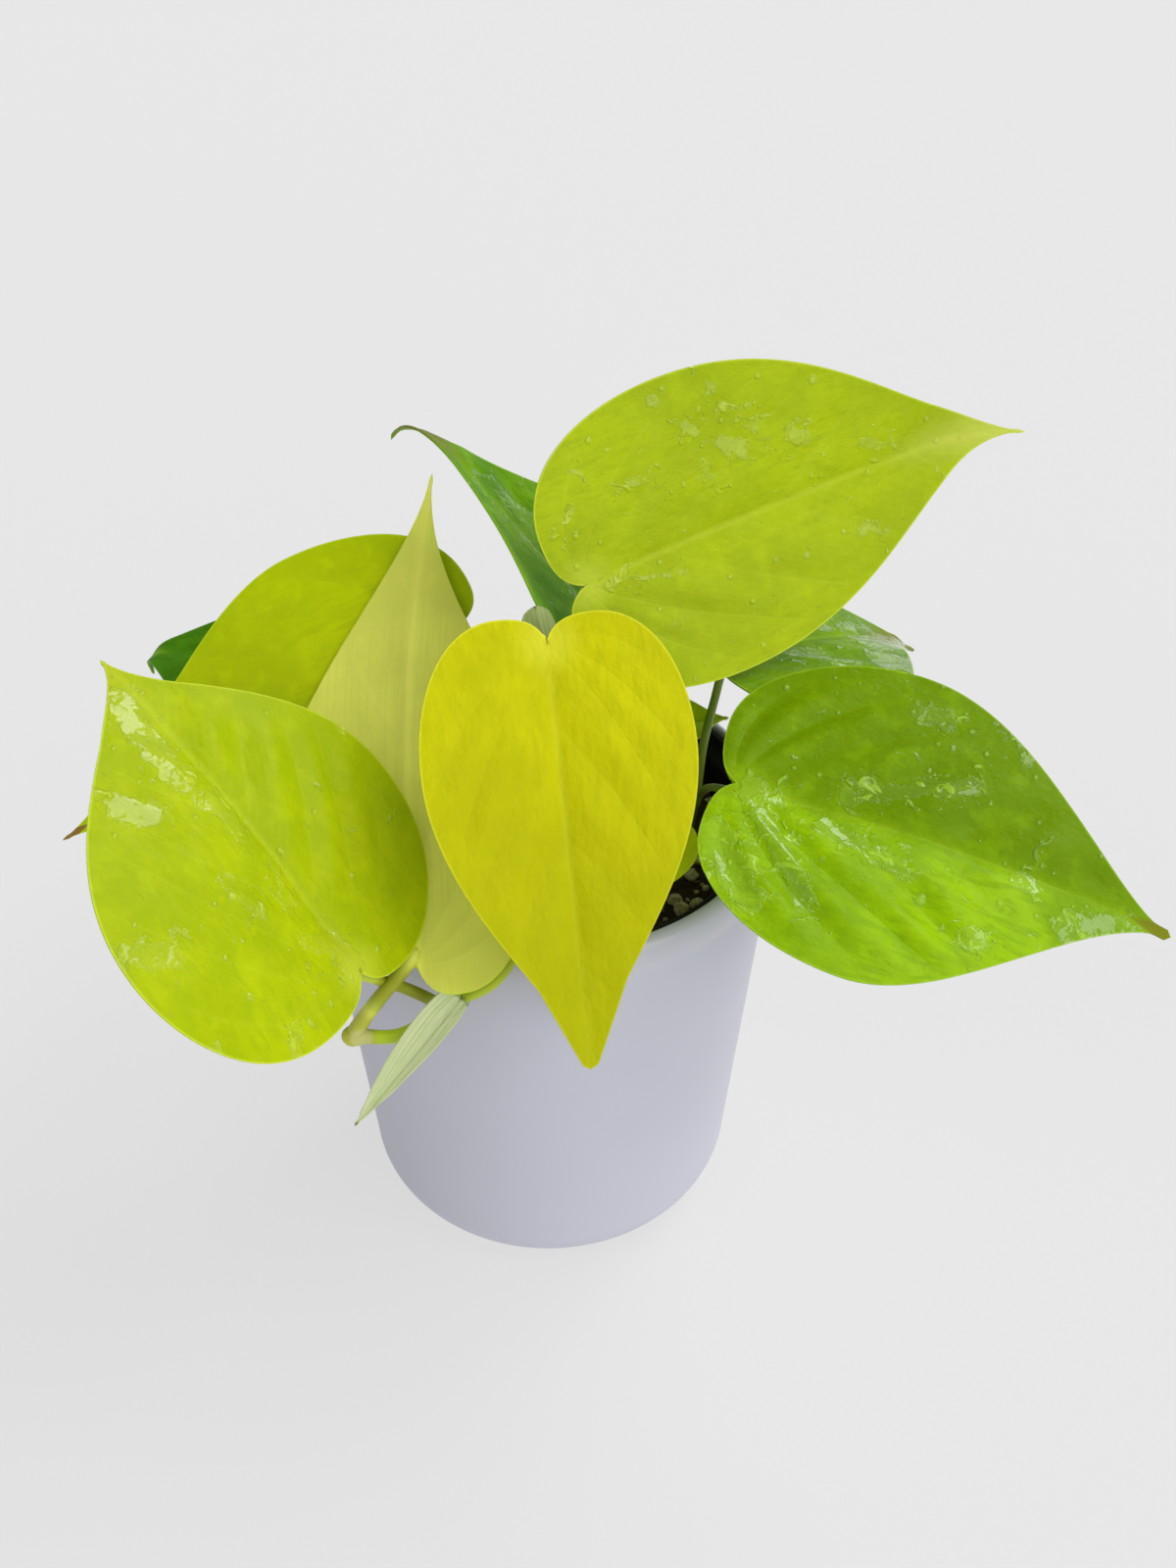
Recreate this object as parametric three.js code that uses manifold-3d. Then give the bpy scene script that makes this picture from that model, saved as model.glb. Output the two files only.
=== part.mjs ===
// A lemon lime philodendron in its nursery pot, standing in a white cover pot.
// Millimetres, +Z up. The origin is the middle of the cover pot's foot,
// +X is to the right and +Y to the back.
import * as THREE from "three";
import { mergeVertices } from "three/addons/utils/BufferGeometryUtils.js";
import Module from "manifold-3d";

const wasm = await Module();
wasm.setup();

// Driving dimensions of the two pots
const POT_HEIGHT = 120;
const POT_RADIUS = 57;
const FOOT_RADIUS = 47.8;
const FOOT_ROUND = 14;
const WALL = 3.2;
const ROUND_SIDES = 48;
const CLEARANCE = 0.3;
const HOLE_CLEARANCE = 0.6;
const PETIOLE_CLEARANCE = 0.4;

const NURSERY_TOP = POT_HEIGHT - 1;
const NURSERY_RADIUS = 52.3;
const NURSERY_WALL = 1.2;
const NURSERY_FOOT = 34;
const NURSERY_RIM_HEIGHT = 6;
const NURSERY_RIM_STEP = 1.6;
const NURSERY_BASE = WALL + CLEARANCE + 1;
const DRAIN_HOLES = 6;
const DRAIN_RADIUS = 3;

const SOIL_TOP = 107;
const SOIL_SIDES = 32;

// Driving dimensions of the plant
const BLADE = 0.8;
const MIDRIB_STEPS = 40;
const BLADE_ROWS = 18;
const BLADE_COLUMNS = 8;
const STEM_SIDES = 6;
const STEM_DEPTH = 11;

const rad = THREE.MathUtils.degToRad;

// A mesh's geometry as a solid, and a solid as a geometry
function solid(geometry) {
  const g = geometry.index ? geometry.toNonIndexed() : geometry.clone();
  g.deleteAttribute("normal");
  g.deleteAttribute("uv");
  const merged = mergeVertices(g, 1e-4);
  return new wasm.Manifold(
    new wasm.Mesh({
      numProp: 3,
      vertProperties: merged.attributes.position.array,
      triVerts: new Uint32Array(merged.index.array),
    }),
  );
}

function geometryOf(made) {
  const mesh = made.getMesh();
  return new THREE.BufferGeometry()
    .setAttribute("position", new THREE.BufferAttribute(mesh.vertProperties, 3))
    .setIndex(new THREE.BufferAttribute(mesh.triVerts, 1));
}

// A body of revolution about Z from a closed or axis-to-axis profile of [radius, height]
function turned(profile, sides = ROUND_SIDES) {
  const points = profile.map(([r, z]) => new THREE.Vector2(r, z));
  return new THREE.LatheGeometry(points, sides).rotateX(Math.PI / 2);
}

// Points on a quarter or other arc, from one angle to another in degrees
function arc(cx, cz, radius, from, to, steps) {
  return Array.from({ length: steps + 1 }, (_, i) => {
    const a = rad(from + ((to - from) * i) / steps);
    return [cx + radius * Math.cos(a), cz + radius * Math.sin(a)];
  });
}

// Cover pot: outside, rounded rim, then the inside down to its floor
function coverPot() {
  const rim = WALL / 2;
  const inner = FOOT_ROUND - WALL + 1;
  const profile = [
    [0, 0],
    ...arc(FOOT_RADIUS - FOOT_ROUND, FOOT_ROUND, FOOT_ROUND, -90, 0, 5),
    ...arc(POT_RADIUS - rim, POT_HEIGHT - rim, rim, 0, 180, 4),
    ...arc(FOOT_RADIUS - WALL - inner, WALL + inner, inner, 0, -90, 4),
    [0, WALL],
  ];
  return turned(profile);
}

// Nursery pot: thin tapered wall with a stepped rim band and drainage holes in its floor
function nurseryPot() {
  const neck = NURSERY_RADIUS - NURSERY_RIM_STEP;
  const band = NURSERY_TOP - NURSERY_RIM_HEIGHT;
  const profile = [
    [0, NURSERY_BASE],
    [NURSERY_FOOT - 4, NURSERY_BASE],
    [NURSERY_FOOT, NURSERY_BASE + 4],
    [neck - 1, band],
    [NURSERY_RADIUS - 0.6, band],
    [NURSERY_RADIUS, NURSERY_TOP - 0.4],
    [NURSERY_RADIUS - 0.4, NURSERY_TOP],
    [neck - 0.6, NURSERY_TOP],
    [neck - 1, NURSERY_TOP - 0.6],
    [neck - 1 - NURSERY_WALL, band],
    [NURSERY_FOOT - NURSERY_WALL, NURSERY_BASE + 4.5],
    [NURSERY_FOOT - 4.5, NURSERY_BASE + NURSERY_WALL],
    [0, NURSERY_BASE + NURSERY_WALL],
  ];
  let body = solid(turned(profile));
  for (let i = 0; i < DRAIN_HOLES; i++) {
    const a = (2 * Math.PI * i) / DRAIN_HOLES;
    const hole = new THREE.CylinderGeometry(DRAIN_RADIUS, DRAIN_RADIUS, 8, 12)
      .rotateX(Math.PI / 2)
      .translate(20 * Math.cos(a), 20 * Math.sin(a), NURSERY_BASE);
    body = body.subtract(solid(hole));
  }
  return geometryOf(body);
}

// Where the stems stand: the line's foot and radius, filled in by each stem
const holes = [];

// A stem or petiole: a round tube along a smooth line with a ball at each end
function tube(points, radius, steps = 2 * points.length) {
  const line = new THREE.CatmullRomCurve3(points.map((p) => new THREE.Vector3(...p)));
  const section = new THREE.Shape();
  section.absarc(0, 0, radius, 0, 2 * Math.PI);
  const body = solid(
    new THREE.ExtrudeGeometry(section, {
      steps,
      extrudePath: line,
      curveSegments: STEM_SIDES / 2,
      bevelEnabled: false,
    }),
  );
  return body.add(ball(points[0], radius)).add(ball(points.at(-1), radius));
}

function ball(point, radius, stretch = 1) {
  const sphere = new THREE.SphereGeometry(radius, STEM_SIDES, 4);
  return solid(sphere.scale(1, 1, stretch).translate(...point));
}

// A stem that stands in the soil: its foot goes straight down from the first point
function standing(points, radius) {
  const [x, y, z] = points[0];
  holes.push({ x, y, radius });
  return tube([[x, y, z - STEM_DEPTH], [x, y, z - STEM_DEPTH / 2], ...points], radius);
}

const join = (...bodies) => geometryOf(bodies.reduce((a, b) => a.add(b)));

// Half of a blade's outline, in half-widths and lengths, for v from the notch (0) to the tip (1)
function outline(v, shape) {
  const { lobeSpread, lobeDepth, widestAt, shoulder, tipFine, tipFrom } = shape;
  const curves = [
    [0, 0.2, [0, 0], [0.05, -0.8 * lobeDepth], [0.5 * lobeSpread, -lobeDepth], [lobeSpread, -lobeDepth]],
    [0.2, 0.5, [lobeSpread, -lobeDepth], [0.74, -lobeDepth], [1, widestAt - 0.19], [1, widestAt]],
    [0.5, 1, [1, widestAt], [1, widestAt + shoulder], [tipFine, tipFrom], [0, 1]],
  ];
  const [from, to, ...points] = curves.find((c) => v <= c[1]);
  const t = (v - from) / (to - from);
  const curve = new THREE.CubicBezierCurve(...points.map((p) => new THREE.Vector2(...p)));
  return curve.getPoint(t);
}

// A blade's midrib: the place and the three directions (along, up, across) at each step
function midrib(leaf) {
  const { length, droop, sweep, twist, tailFrom = 0.8, tailDroop = 0, tailSweep = 0 } = leaf;
  const [h, p, r] = [leaf.heading, leaf.pitch, leaf.roll].map(rad);
  const along = new THREE.Vector3(Math.cos(p) * Math.cos(h), Math.cos(p) * Math.sin(h), Math.sin(p));
  const up = new THREE.Vector3(-Math.sin(p) * Math.cos(h), -Math.sin(p) * Math.sin(h), Math.cos(p));
  const across = new THREE.Vector3().crossVectors(along, up);
  up.multiplyScalar(Math.cos(r)).addScaledVector(across, Math.sin(r));
  across.crossVectors(along, up);
  const place = new THREE.Vector3(...leaf.base);
  const keep = () => ({ place: place.clone(), along: along.clone(), up: up.clone(), across: across.clone() });
  const frames = [keep()];
  for (let i = 0; i < MIDRIB_STEPS; i++) {
    const tail = (i + 0.5) / MIDRIB_STEPS > tailFrom ? 1 / (1 - tailFrom) : 0;
    const down = rad(droop + tail * tailDroop) / MIDRIB_STEPS;
    const aside = rad(sweep + tail * tailSweep) / MIDRIB_STEPS;
    along.addScaledVector(up, -down).addScaledVector(across, aside).normalize();
    up.addScaledVector(across, rad(twist) / MIDRIB_STEPS);
    up.addScaledVector(along, -up.dot(along)).normalize();
    across.crossVectors(along, up);
    place.addScaledVector(along, length / MIDRIB_STEPS);
    frames.push(keep());
  }
  return frames;
}

// A blade: a waved sheet of one thickness on its midrib, its two faces split into triangles alike
function blade(leaf) {
  const shape = { ...LEAF_SHAPE, ...leaf.shape };
  const frames = midrib(leaf);
  const half = leaf.width / 2;
  const { fold, cup, left = 1, right = 1, lobeRight = 1, length } = leaf;
  const rows = leaf.rows ?? BLADE_ROWS;
  const middle = (row, column) => {
    const v = row / rows;
    const u = (2 * column) / BLADE_COLUMNS - 1;
    const side = Math.abs(u);
    const edge = outline(v, shape);
    const back = edge.y < 0 && u > 0 ? lobeRight : 1;
    const x = Math.sign(u) * edge.x * half * side * (u < 0 ? left : right);
    const y = (v ** 2.5 + (edge.y * back - v ** 2.5) * side ** 1.4) * length;
    const q = Math.abs(x) / half;
    const z = half * (Math.tan(rad(fold)) * (Math.sqrt(q * q + 0.0009) - 0.03) - cup * q * q);
    const at = Math.min(Math.max(y / length, 0), 1) * MIDRIB_STEPS;
    const i = Math.min(Math.floor(at), MIDRIB_STEPS - 1);
    const mix = (key) => frames[i][key].clone().lerp(frames[i + 1][key], at - i);
    return mix("place")
      .addScaledVector(frames[0].along, Math.min(y, 0))
      .addScaledVector(mix("across"), x)
      .addScaledVector(mix("up"), z);
  };
  const sheet = [];
  const number = (row, column) =>
    row === 0 ? 0 : row === rows ? 1 : 2 + (row - 1) * (BLADE_COLUMNS + 1) + column;
  const centre = BLADE_COLUMNS / 2;
  sheet.push(middle(0, centre), middle(rows, centre));
  for (let row = 1; row < rows; row++)
    for (let column = 0; column <= BLADE_COLUMNS; column++) sheet.push(middle(row, column));
  const faces = [];
  for (let row = 0; row < rows; row++)
    for (let column = 0; column < BLADE_COLUMNS; column++) {
      const a = number(row, column);
      const b = number(row, column + 1);
      const c = number(row + 1, column + 1);
      const d = number(row + 1, column);
      if (row > 0) faces.push(row < rows - 1 ? [a, b, c] : [a, b, 1]);
      if (row < rows - 1) faces.push(row > 0 ? [a, c, d] : [0, c, d]);
    }
  return thickened(sheet, faces, BLADE);
}

// A closed solid from one sheet of points and its faces, half the thickness to either side
function thickened(sheet, faces, thickness) {
  const normals = sheet.map(() => new THREE.Vector3());
  const edges = new Set();
  for (const face of faces) {
    const [a, b, c] = face.map((i) => sheet[i]);
    const n = new THREE.Vector3().crossVectors(b.clone().sub(a), c.clone().sub(a));
    face.forEach((i, k) => {
      normals[i].add(n);
      edges.add(`${i},${face[(k + 1) % 3]}`);
    });
  }
  const count = sheet.length;
  const put = (side) =>
    sheet.map((p, i) => p.clone().addScaledVector(normals[i].clone().normalize(), (side * thickness) / 2));
  const points = [...put(1), ...put(-1)];
  const triangles = faces.flatMap(([a, b, c]) => [a, b, c, count + a, count + c, count + b]);
  for (const edge of edges) {
    const [a, b] = edge.split(",").map(Number);
    if (!edges.has(`${b},${a}`)) triangles.push(a, count + a, count + b, a, count + b, b);
  }
  return new THREE.BufferGeometry()
    .setAttribute("position", new THREE.Float32BufferAttribute(points.flatMap((p) => p.toArray()), 3))
    .setIndex(triangles);
}

// The ball end of a petiole, just behind its blade's base
function petioleEnd(leaf, radius) {
  const { place, up, along } = midrib(leaf)[0];
  return place
    .clone()
    .addScaledVector(up, -(BLADE / 2 + PETIOLE_CLEARANCE + radius))
    .addScaledVector(along, radius / 2)
    .toArray();
}

const LEAF_SHAPE = {
  lobeSpread: 0.35,
  lobeDepth: 0.08,
  widestAt: 0.27,
  shoulder: 0.29,
  tipFine: 0.08,
  tipFrom: 0.78,
};

// The leaves. In degrees, heading is measured from +X towards +Y, pitch above the level and roll
// about the midrib. Droop bends the midrib back over the blade's length, sweep bends it sideways
// and twist turns the blade along it. The tail values bend the last stretch further.
const LEAVES = {
  leaf_upper_right: {
    base: [10, -5.5, 184],
    heading: 26,
    pitch: 11,
    roll: 61,
    length: 110,
    width: 69,
    droop: -6,
    sweep: 3,
    twist: 10,
    fold: 7,
    cup: 0.06,
    left: 1.04,
    right: 0.92,
    tailDroop: -5,
    tailSweep: 20,
    shape: { lobeDepth: 0.06, shoulder: 0.37, tipFine: 0.04 },
    colour: 0xb2c80a,
  },
  leaf_centre: {
    base: [2, -31, 186],
    heading: -79,
    pitch: -55,
    roll: -5,
    length: 91,
    width: 60,
    droop: 8,
    sweep: -1,
    twist: 0,
    fold: 7,
    cup: 0.06,
    left: 0.98,
    right: 0.98,
    shape: { lobeDepth: 0.06, tipFine: 0.11, tipFrom: 0.82 },
    colour: 0xcdcf08,
  },
  leaf_left: {
    base: [-37.5, -67.5, 128],
    heading: 147,
    pitch: 58,
    roll: 6,
    length: 86,
    width: 80,
    droop: 35,
    sweep: 4,
    twist: -6,
    fold: 2,
    cup: 0.06,
    left: 1.11,
    right: 0.94,
    tailDroop: 11,
    tailSweep: 9,
    shape: { lobeSpread: 0.3, lobeDepth: 0.07, widestAt: 0.31, shoulder: 0.38, tipFine: 0.06, tipFrom: 0.81 },
    colour: 0xb0c808,
  },
  leaf_left_back: {
    base: [-22.5, 10.5, 160.5],
    heading: 192,
    pitch: -21,
    roll: -35,
    length: 105,
    width: 70,
    droop: 10,
    sweep: -4,
    twist: -1,
    fold: 4,
    cup: 0.04,
    shape: { lobeSpread: 0.25, lobeDepth: 0.09, shoulder: 0.22, tipFrom: 0.76 },
    colour: 0xa6bc08,
  },
  leaf_pale_upright: {
    base: [-27, -55.5, 118.5],
    heading: 99,
    pitch: 24,
    roll: 162,
    length: 117,
    width: 64,
    droop: 21,
    sweep: -22,
    twist: 1,
    fold: 1,
    cup: 0.06,
    left: 0.97,
    right: 1.01,
    tailDroop: 4,
    tailSweep: -3,
    lobeRight: 0.1,
    shape: { tipFine: 0.07, tipFrom: 0.75 },
    colour: 0xbccb46,
  },
  leaf_upper_back: {
    base: [27.5, 16.5, 145],
    heading: 189,
    pitch: 52,
    roll: -24,
    length: 98,
    width: 63,
    droop: 8,
    sweep: 22,
    twist: 29,
    fold: 7,
    cup: 0.04,
    left: 0.98,
    tailFrom: 0.75,
    tailDroop: 68,
    tailSweep: 75,
    shape: { widestAt: 0.25, shoulder: 0.28, tipFine: 0.02, tipFrom: 0.66 },
    colour: 0x5ca008,
  },
  leaf_right_back: {
    base: [41.5, 1, 159],
    heading: 43,
    pitch: -4,
    roll: 6,
    length: 83,
    width: 65,
    droop: 33,
    sweep: 8,
    twist: -1,
    fold: 7,
    cup: 0.06,
    right: 0.97,
    shape: { lobeDepth: 0.05, shoulder: 0.27 },
    colour: 0x6a9c18,
  },
  leaf_right: {
    base: [42.5, -34.5, 152],
    heading: -15,
    pitch: -3,
    roll: 18,
    length: 100,
    width: 76,
    droop: 23,
    sweep: 5,
    twist: 14,
    fold: 7,
    cup: 0.11,
    tailDroop: 3,
    shape: { lobeDepth: 0.05, widestAt: 0.31, shoulder: 0.25, tipFine: 0.1 },
    colour: 0x6ea506,
  },
  leaf_far_left: {
    base: [-34.5, 13.5, 136],
    heading: 156,
    pitch: 12,
    roll: -11,
    length: 85,
    width: 64,
    droop: 33,
    sweep: -2,
    twist: -2,
    fold: 5,
    cup: 0.07,
    tailDroop: 12,
    tailSweep: -10,
    shape: { shoulder: 0.25, tipFine: 0.1, tipFrom: 0.8 },
    colour: 0x2c7010,
  },
  leaf_small_right: {
    base: [26, -16, 126],
    heading: -107,
    pitch: -13,
    roll: -3,
    length: 27,
    width: 24,
    droop: 7,
    sweep: -3,
    twist: -1,
    fold: 8,
    cup: 0.05,
    rows: 10,
    colour: 0xa0b80c,
  },
  leaf_small_back: {
    base: [22, 11, 134],
    heading: 12,
    pitch: 4,
    roll: 12,
    length: 24,
    width: 20,
    droop: 17,
    sweep: -1,
    twist: 1,
    fold: 8,
    cup: 0.05,
    rows: 10,
    colour: 0x698206,
  },
};

// Sheaths: narrow boat-shaped blades that once wrapped the next leaf
const SHEATHS = {
  front_sheath: {
    base: [-17, -61.5, 114],
    heading: 204,
    pitch: -47,
    roll: -47,
    length: 37.5,
    width: 9,
    droop: -4,
    sweep: 0,
    twist: 0,
    fold: 20,
    cup: 0,
    left: 0.5,
    right: 1.1,
    rows: 10,
    shape: { lobeSpread: 0.6, lobeDepth: 0.01, widestAt: 0.25, shoulder: 0.35, tipFine: 0.25, tipFrom: 0.9 },
    colour: 0xbdcc95,
  },
  centre_sheath: {
    base: [2.5, -25, 174],
    heading: 122,
    pitch: 66,
    roll: -10,
    length: 15,
    width: 7.6,
    droop: 0,
    sweep: 0,
    twist: 0,
    fold: -18,
    cup: 0,
    rows: 10,
    shape: { lobeSpread: 0.3, lobeDepth: 0.005, widestAt: 0.55, shoulder: 0.3, tipFine: 0.75, tipFrom: 0.95 },
    colour: 0x96a56e,
  },
};

// Stems. Each list holds the points that a stem passes, from the soil or the stem to the leaf.
const STEM = 2.1;
const RUNNER = 1.5;
const PETIOLE = 1.3;
const SLIM_PETIOLE = 1.1;
const THREAD = 0.9;
const GROWING_TIP = 1.5;
const end = (name, radius = PETIOLE) => petioleEnd(LEAVES[name], radius);

const frontNode = [-22, -59, 109.5];
const frontTip = [-40.5, -60, 100];
function frontVine() {
  return join(
    standing(
      [
        [-2, -30, SOIL_TOP],
        [-2.5, -41, 120],
        [-4, -49, 123.5],
        [-6.5, -57.5, 121.2],
        [-10, -60.2, 117.5],
        [-16, -60, 113],
        frontNode,
      ],
      RUNNER,
    ),
    tube([frontNode, [-31, -60.5, 103.5], frontTip], RUNNER),
    ball(frontTip, 2.4),
    ball(frontNode, 2.1),
    tube([frontTip, [-38, -59.5, 106], [-33.5, -61, 113.5], end("leaf_pale_upright")], PETIOLE),
    tube([frontNode, [-29, -56, 111], [-35, -59, 117], end("leaf_left", SLIM_PETIOLE)], SLIM_PETIOLE),
  );
}

const centreNode = [-1, -4, 132];
const centreTip = [2, -17, 168];
function centreVine() {
  return join(
    standing([[-1, 0, SOIL_TOP], [-1, -2, 120], centreNode, [0, -8, 150], centreTip], STEM),
    ball(centreNode, 2.7),
    tube([centreTip, [2.5, -19.5, 171], [2.5, -21.4, 174.5]], GROWING_TIP),
    tube([centreNode, [2, -20, 148], [3, -28, 170], end("leaf_centre")], PETIOLE),
    tube(
      [
        centreTip,
        [5.2, -17.3, 171.2],
        [6.9, -13.6, 172.9],
        [8.2, -10.5, 173.2],
        [10, -6.5, 176],
        end("leaf_upper_right", SLIM_PETIOLE),
      ],
      SLIM_PETIOLE,
    ),
    tube([[-1, -2, 120], [10, -8, 120], [21, -13, 121], end("leaf_small_right", THREAD)], THREAD),
  );
}

const rightNode = [37, 4, 118];
function rightVine() {
  return join(
    standing(
      [[36, 6, SOIL_TOP], rightNode, [38, 3, 134], [40, 2, 148], end("leaf_right_back", SLIM_PETIOLE)],
      SLIM_PETIOLE,
    ),
    ball(rightNode, 1.7),
    tube([rightNode, [39, -8, 130], [42, -24, 142], end("leaf_right", SLIM_PETIOLE)], SLIM_PETIOLE),
  );
}

const backNode = [-18, 20, 118];
function backVine() {
  return join(
    standing([[-16, 20, SOIL_TOP], backNode, [-20, 18, 134]], STEM),
    ball(backNode, 2.6),
    tube([[-20, 18, 134], [-20, 16, 148], end("leaf_left_back")], PETIOLE),
    tube([backNode, [-26, 17, 127], end("leaf_far_left")], PETIOLE),
  );
}

const farNode = [16, 25, 117];
function farVine() {
  return join(
    standing([[14, 24, SOIL_TOP], farNode, [20, 27, 130]], STEM),
    ball(farNode, 2.5),
    tube([[20, 27, 130], [26, 25, 138], end("leaf_upper_back")], PETIOLE),
    tube([farNode, [18, 16, 127], end("leaf_small_back", THREAD)], THREAD),
  );
}

// Soil: a tapered plug with an uneven top, perlite lumps sunk in it, and plain holes for the stems
const PERLITE = [
  [32, -17, 2],
  [35, -20, 2.2],
  [38, -19, 1.8],
  [37, -8, 1.6],
  [27, -25, 1.5],
  [42, -12, 1.4],
];
const PERLITE_MORE = 14;
function seeded(seed) {
  let state = seed;
  return () => (state = (state * 16807) % 2147483647) / 2147483647;
}

function soil() {
  const inside = NURSERY_WALL + CLEARANCE;
  const floor = NURSERY_BASE + inside + 0.2;
  const neck = NURSERY_RADIUS - NURSERY_RIM_STEP - 1 - inside;
  const share = (SOIL_TOP - NURSERY_BASE - 4) / (NURSERY_TOP - NURSERY_RIM_HEIGHT - NURSERY_BASE - 4);
  const edge = NURSERY_FOOT - inside + (neck - NURSERY_FOOT + inside) * share - 0.4;
  const rings = [0.85, 0.65, 0.45, 0.22];
  const profile = [
    [0, floor],
    [NURSERY_FOOT - 6, floor],
    [NURSERY_FOOT - inside - 0.6, NURSERY_BASE + 6],
    [edge, SOIL_TOP - 0.6],
    ...rings.map((k) => [edge * k, SOIL_TOP]),
    [0, SOIL_TOP],
  ];
  const plug = turned(profile, SOIL_SIDES);
  const at = plug.attributes.position;
  for (let i = 0; i < at.count; i++) {
    const [x, y, z] = [at.getX(i), at.getY(i), at.getZ(i)];
    const broad = 0.6 * Math.sin(x / 4.1) * Math.cos(y / 5.3);
    const fine = 0.3 * Math.sin((x + y) / 2.7);
    if (z > SOIL_TOP - 0.1) at.setZ(i, z + broad + fine);
  }
  let body = solid(plug);
  const random = seeded(11);
  const lumps = [...PERLITE];
  for (let i = 0; i < PERLITE_MORE; i++) {
    const angle = 2 * Math.PI * random();
    const distance = 42 * Math.sqrt(random());
    lumps.push([distance * Math.cos(angle), distance * Math.sin(angle), 1.3 + random()]);
  }
  for (const [x, y, size] of lumps) {
    const lump = new THREE.IcosahedronGeometry(size, 0).rotateX(x).rotateZ(y);
    body = body.add(solid(lump.translate(x, y, SOIL_TOP + 0.2)));
  }
  for (const { x, y, radius } of holes) {
    const wide = radius + HOLE_CLEARANCE;
    const hole = new THREE.CylinderGeometry(wide, wide, 2 * (STEM_DEPTH + 3), 12)
      .rotateX(Math.PI / 2)
      .translate(x, y, SOIL_TOP);
    body = body.subtract(solid(hole));
  }
  return geometryOf(body);
}

const FINISH = {
  pot: { color: 0xf2f2f5, roughness: 0.25, metalness: 0 },
  nursery: { color: 0x141414, roughness: 0.4, metalness: 0 },
  soil: { color: 0x2a1d14, roughness: 0.95, metalness: 0 },
  lime: { color: 0x9aaa1e, roughness: 0.5, metalness: 0 },
  dark: { color: 0x3a5a0c, roughness: 0.5, metalness: 0 },
};

const plant = new THREE.Group();
function add(name, geometry, finish) {
  const mesh = new THREE.Mesh(geometry, new THREE.MeshStandardMaterial(finish));
  mesh.name = name;
  plant.add(mesh);
}

add("cover_pot", coverPot(), FINISH.pot);
add("nursery_pot", nurseryPot(), FINISH.nursery);
add("front_vine", frontVine(), FINISH.lime);
add("centre_vine", centreVine(), FINISH.lime);
add("right_vine", rightVine(), FINISH.dark);
add("back_vine", backVine(), FINISH.lime);
add("far_vine", farVine(), FINISH.dark);
add("soil", soil(), FINISH.soil);
for (const [name, leaf] of Object.entries({ ...LEAVES, ...SHEATHS }))
  add(name, blade(leaf), { color: leaf.colour, roughness: 0.35, metalness: 0, side: THREE.DoubleSide });

export default plant;
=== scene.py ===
"""A lemon lime philodendron in its nursery pot and white cover pot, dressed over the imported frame."""

import math
import random
from dataclasses import dataclass

import bmesh
import bpy
from bpy.props import FloatProperty, FloatVectorProperty, IntProperty, PointerProperty
from mathutils import Matrix, Vector, kdtree, noise


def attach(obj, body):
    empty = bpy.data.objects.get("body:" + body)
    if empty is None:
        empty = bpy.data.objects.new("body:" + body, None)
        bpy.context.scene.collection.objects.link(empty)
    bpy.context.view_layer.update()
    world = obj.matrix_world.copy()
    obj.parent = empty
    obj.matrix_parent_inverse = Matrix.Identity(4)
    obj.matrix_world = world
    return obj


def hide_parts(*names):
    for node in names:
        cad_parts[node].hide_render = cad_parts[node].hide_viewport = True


bl_info = {
    "name": "Potted Lemon Lime Philodendron",
    "version": (1, 0, 0),
    "blender": (4, 5, 0),
    "location": "3D View > Sidebar > Philodendron",
    "description": "Leaves, stems, potting mix and two pots over the packed frame",
    "category": "Object",
}

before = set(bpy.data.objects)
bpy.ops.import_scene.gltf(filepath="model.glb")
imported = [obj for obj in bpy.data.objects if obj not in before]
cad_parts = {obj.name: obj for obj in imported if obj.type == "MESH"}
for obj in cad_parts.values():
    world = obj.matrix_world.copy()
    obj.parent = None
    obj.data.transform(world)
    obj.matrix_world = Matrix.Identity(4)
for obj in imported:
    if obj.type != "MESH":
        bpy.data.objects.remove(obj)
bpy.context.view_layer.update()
MM = 0.001
SOIL_TOP = 107
PETIOLE_GAP = 0.8  # millimetres from a petiole's end to the middle of its blade


@dataclass
class Leaf:
    """A blade, in millimetres and degrees; left and right are seen from above, with the tip ahead."""

    base: tuple  # where the midrib starts, in the notch
    heading: float  # from +X towards +Y
    pitch: float  # above the level
    roll: float
    length: float
    width: float
    # bends of the midrib over its length, and the extra ones of its tail
    droop: float = 0
    sweep: float = 0
    twist: float = 0
    tail_from: float = 0.8
    tail_droop: float = 0
    tail_sweep: float = 0
    # outline: across in half-widths and along in lengths, but blunt is the tip's radius in millimetres
    left: float = 1
    right: float = 1
    lobe_right: float = 1
    lobe_spread: float = 0.35
    lobe_depth: float = 0.08
    widest_at: float = 0.27
    shoulder: float = 0.29
    tip_fine: float = 0.08
    tip_from: float = 0.78
    tip_end: float = 1
    blunt: float = 0.4
    flare: float = 0
    # cross-section and relief: each half rises by fold and its margin falls by cup, the blade swells by
    # quilt between its side veins, sinks by valley along its midrib and has a ridge of keel under it
    fold: float = 7
    cup: float = 0.06
    quilt: float = 0.12
    wave: float = 0.25
    valley: float = 0.8
    keel: float = 0.9
    # looks; each pool is a stroke of standing water: from x, y to x, y with its half-width
    slot: str = "leaf_lime"
    colour: tuple = (0.48, 0.61, 0.001)
    shade: tuple = (0.41, 0.53, 0.001)
    # painted shade: how far the left half of the blade is darkened
    painted_half_shade: float = 0
    cloud: float = 0.35
    vein: tuple = (0.52, 0.64, 0.01)
    vein_show: float = 0.1
    back: tuple = (0.42, 0.52, 0.03)
    tip_colour: tuple = (0.5, 0.56, 0.04)
    tip_show: float = 0.3
    tip_start: float = 0.84
    gloss: float = 0.38
    shine: float = 0.1
    water: float = 0
    pools: tuple = ()


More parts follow.
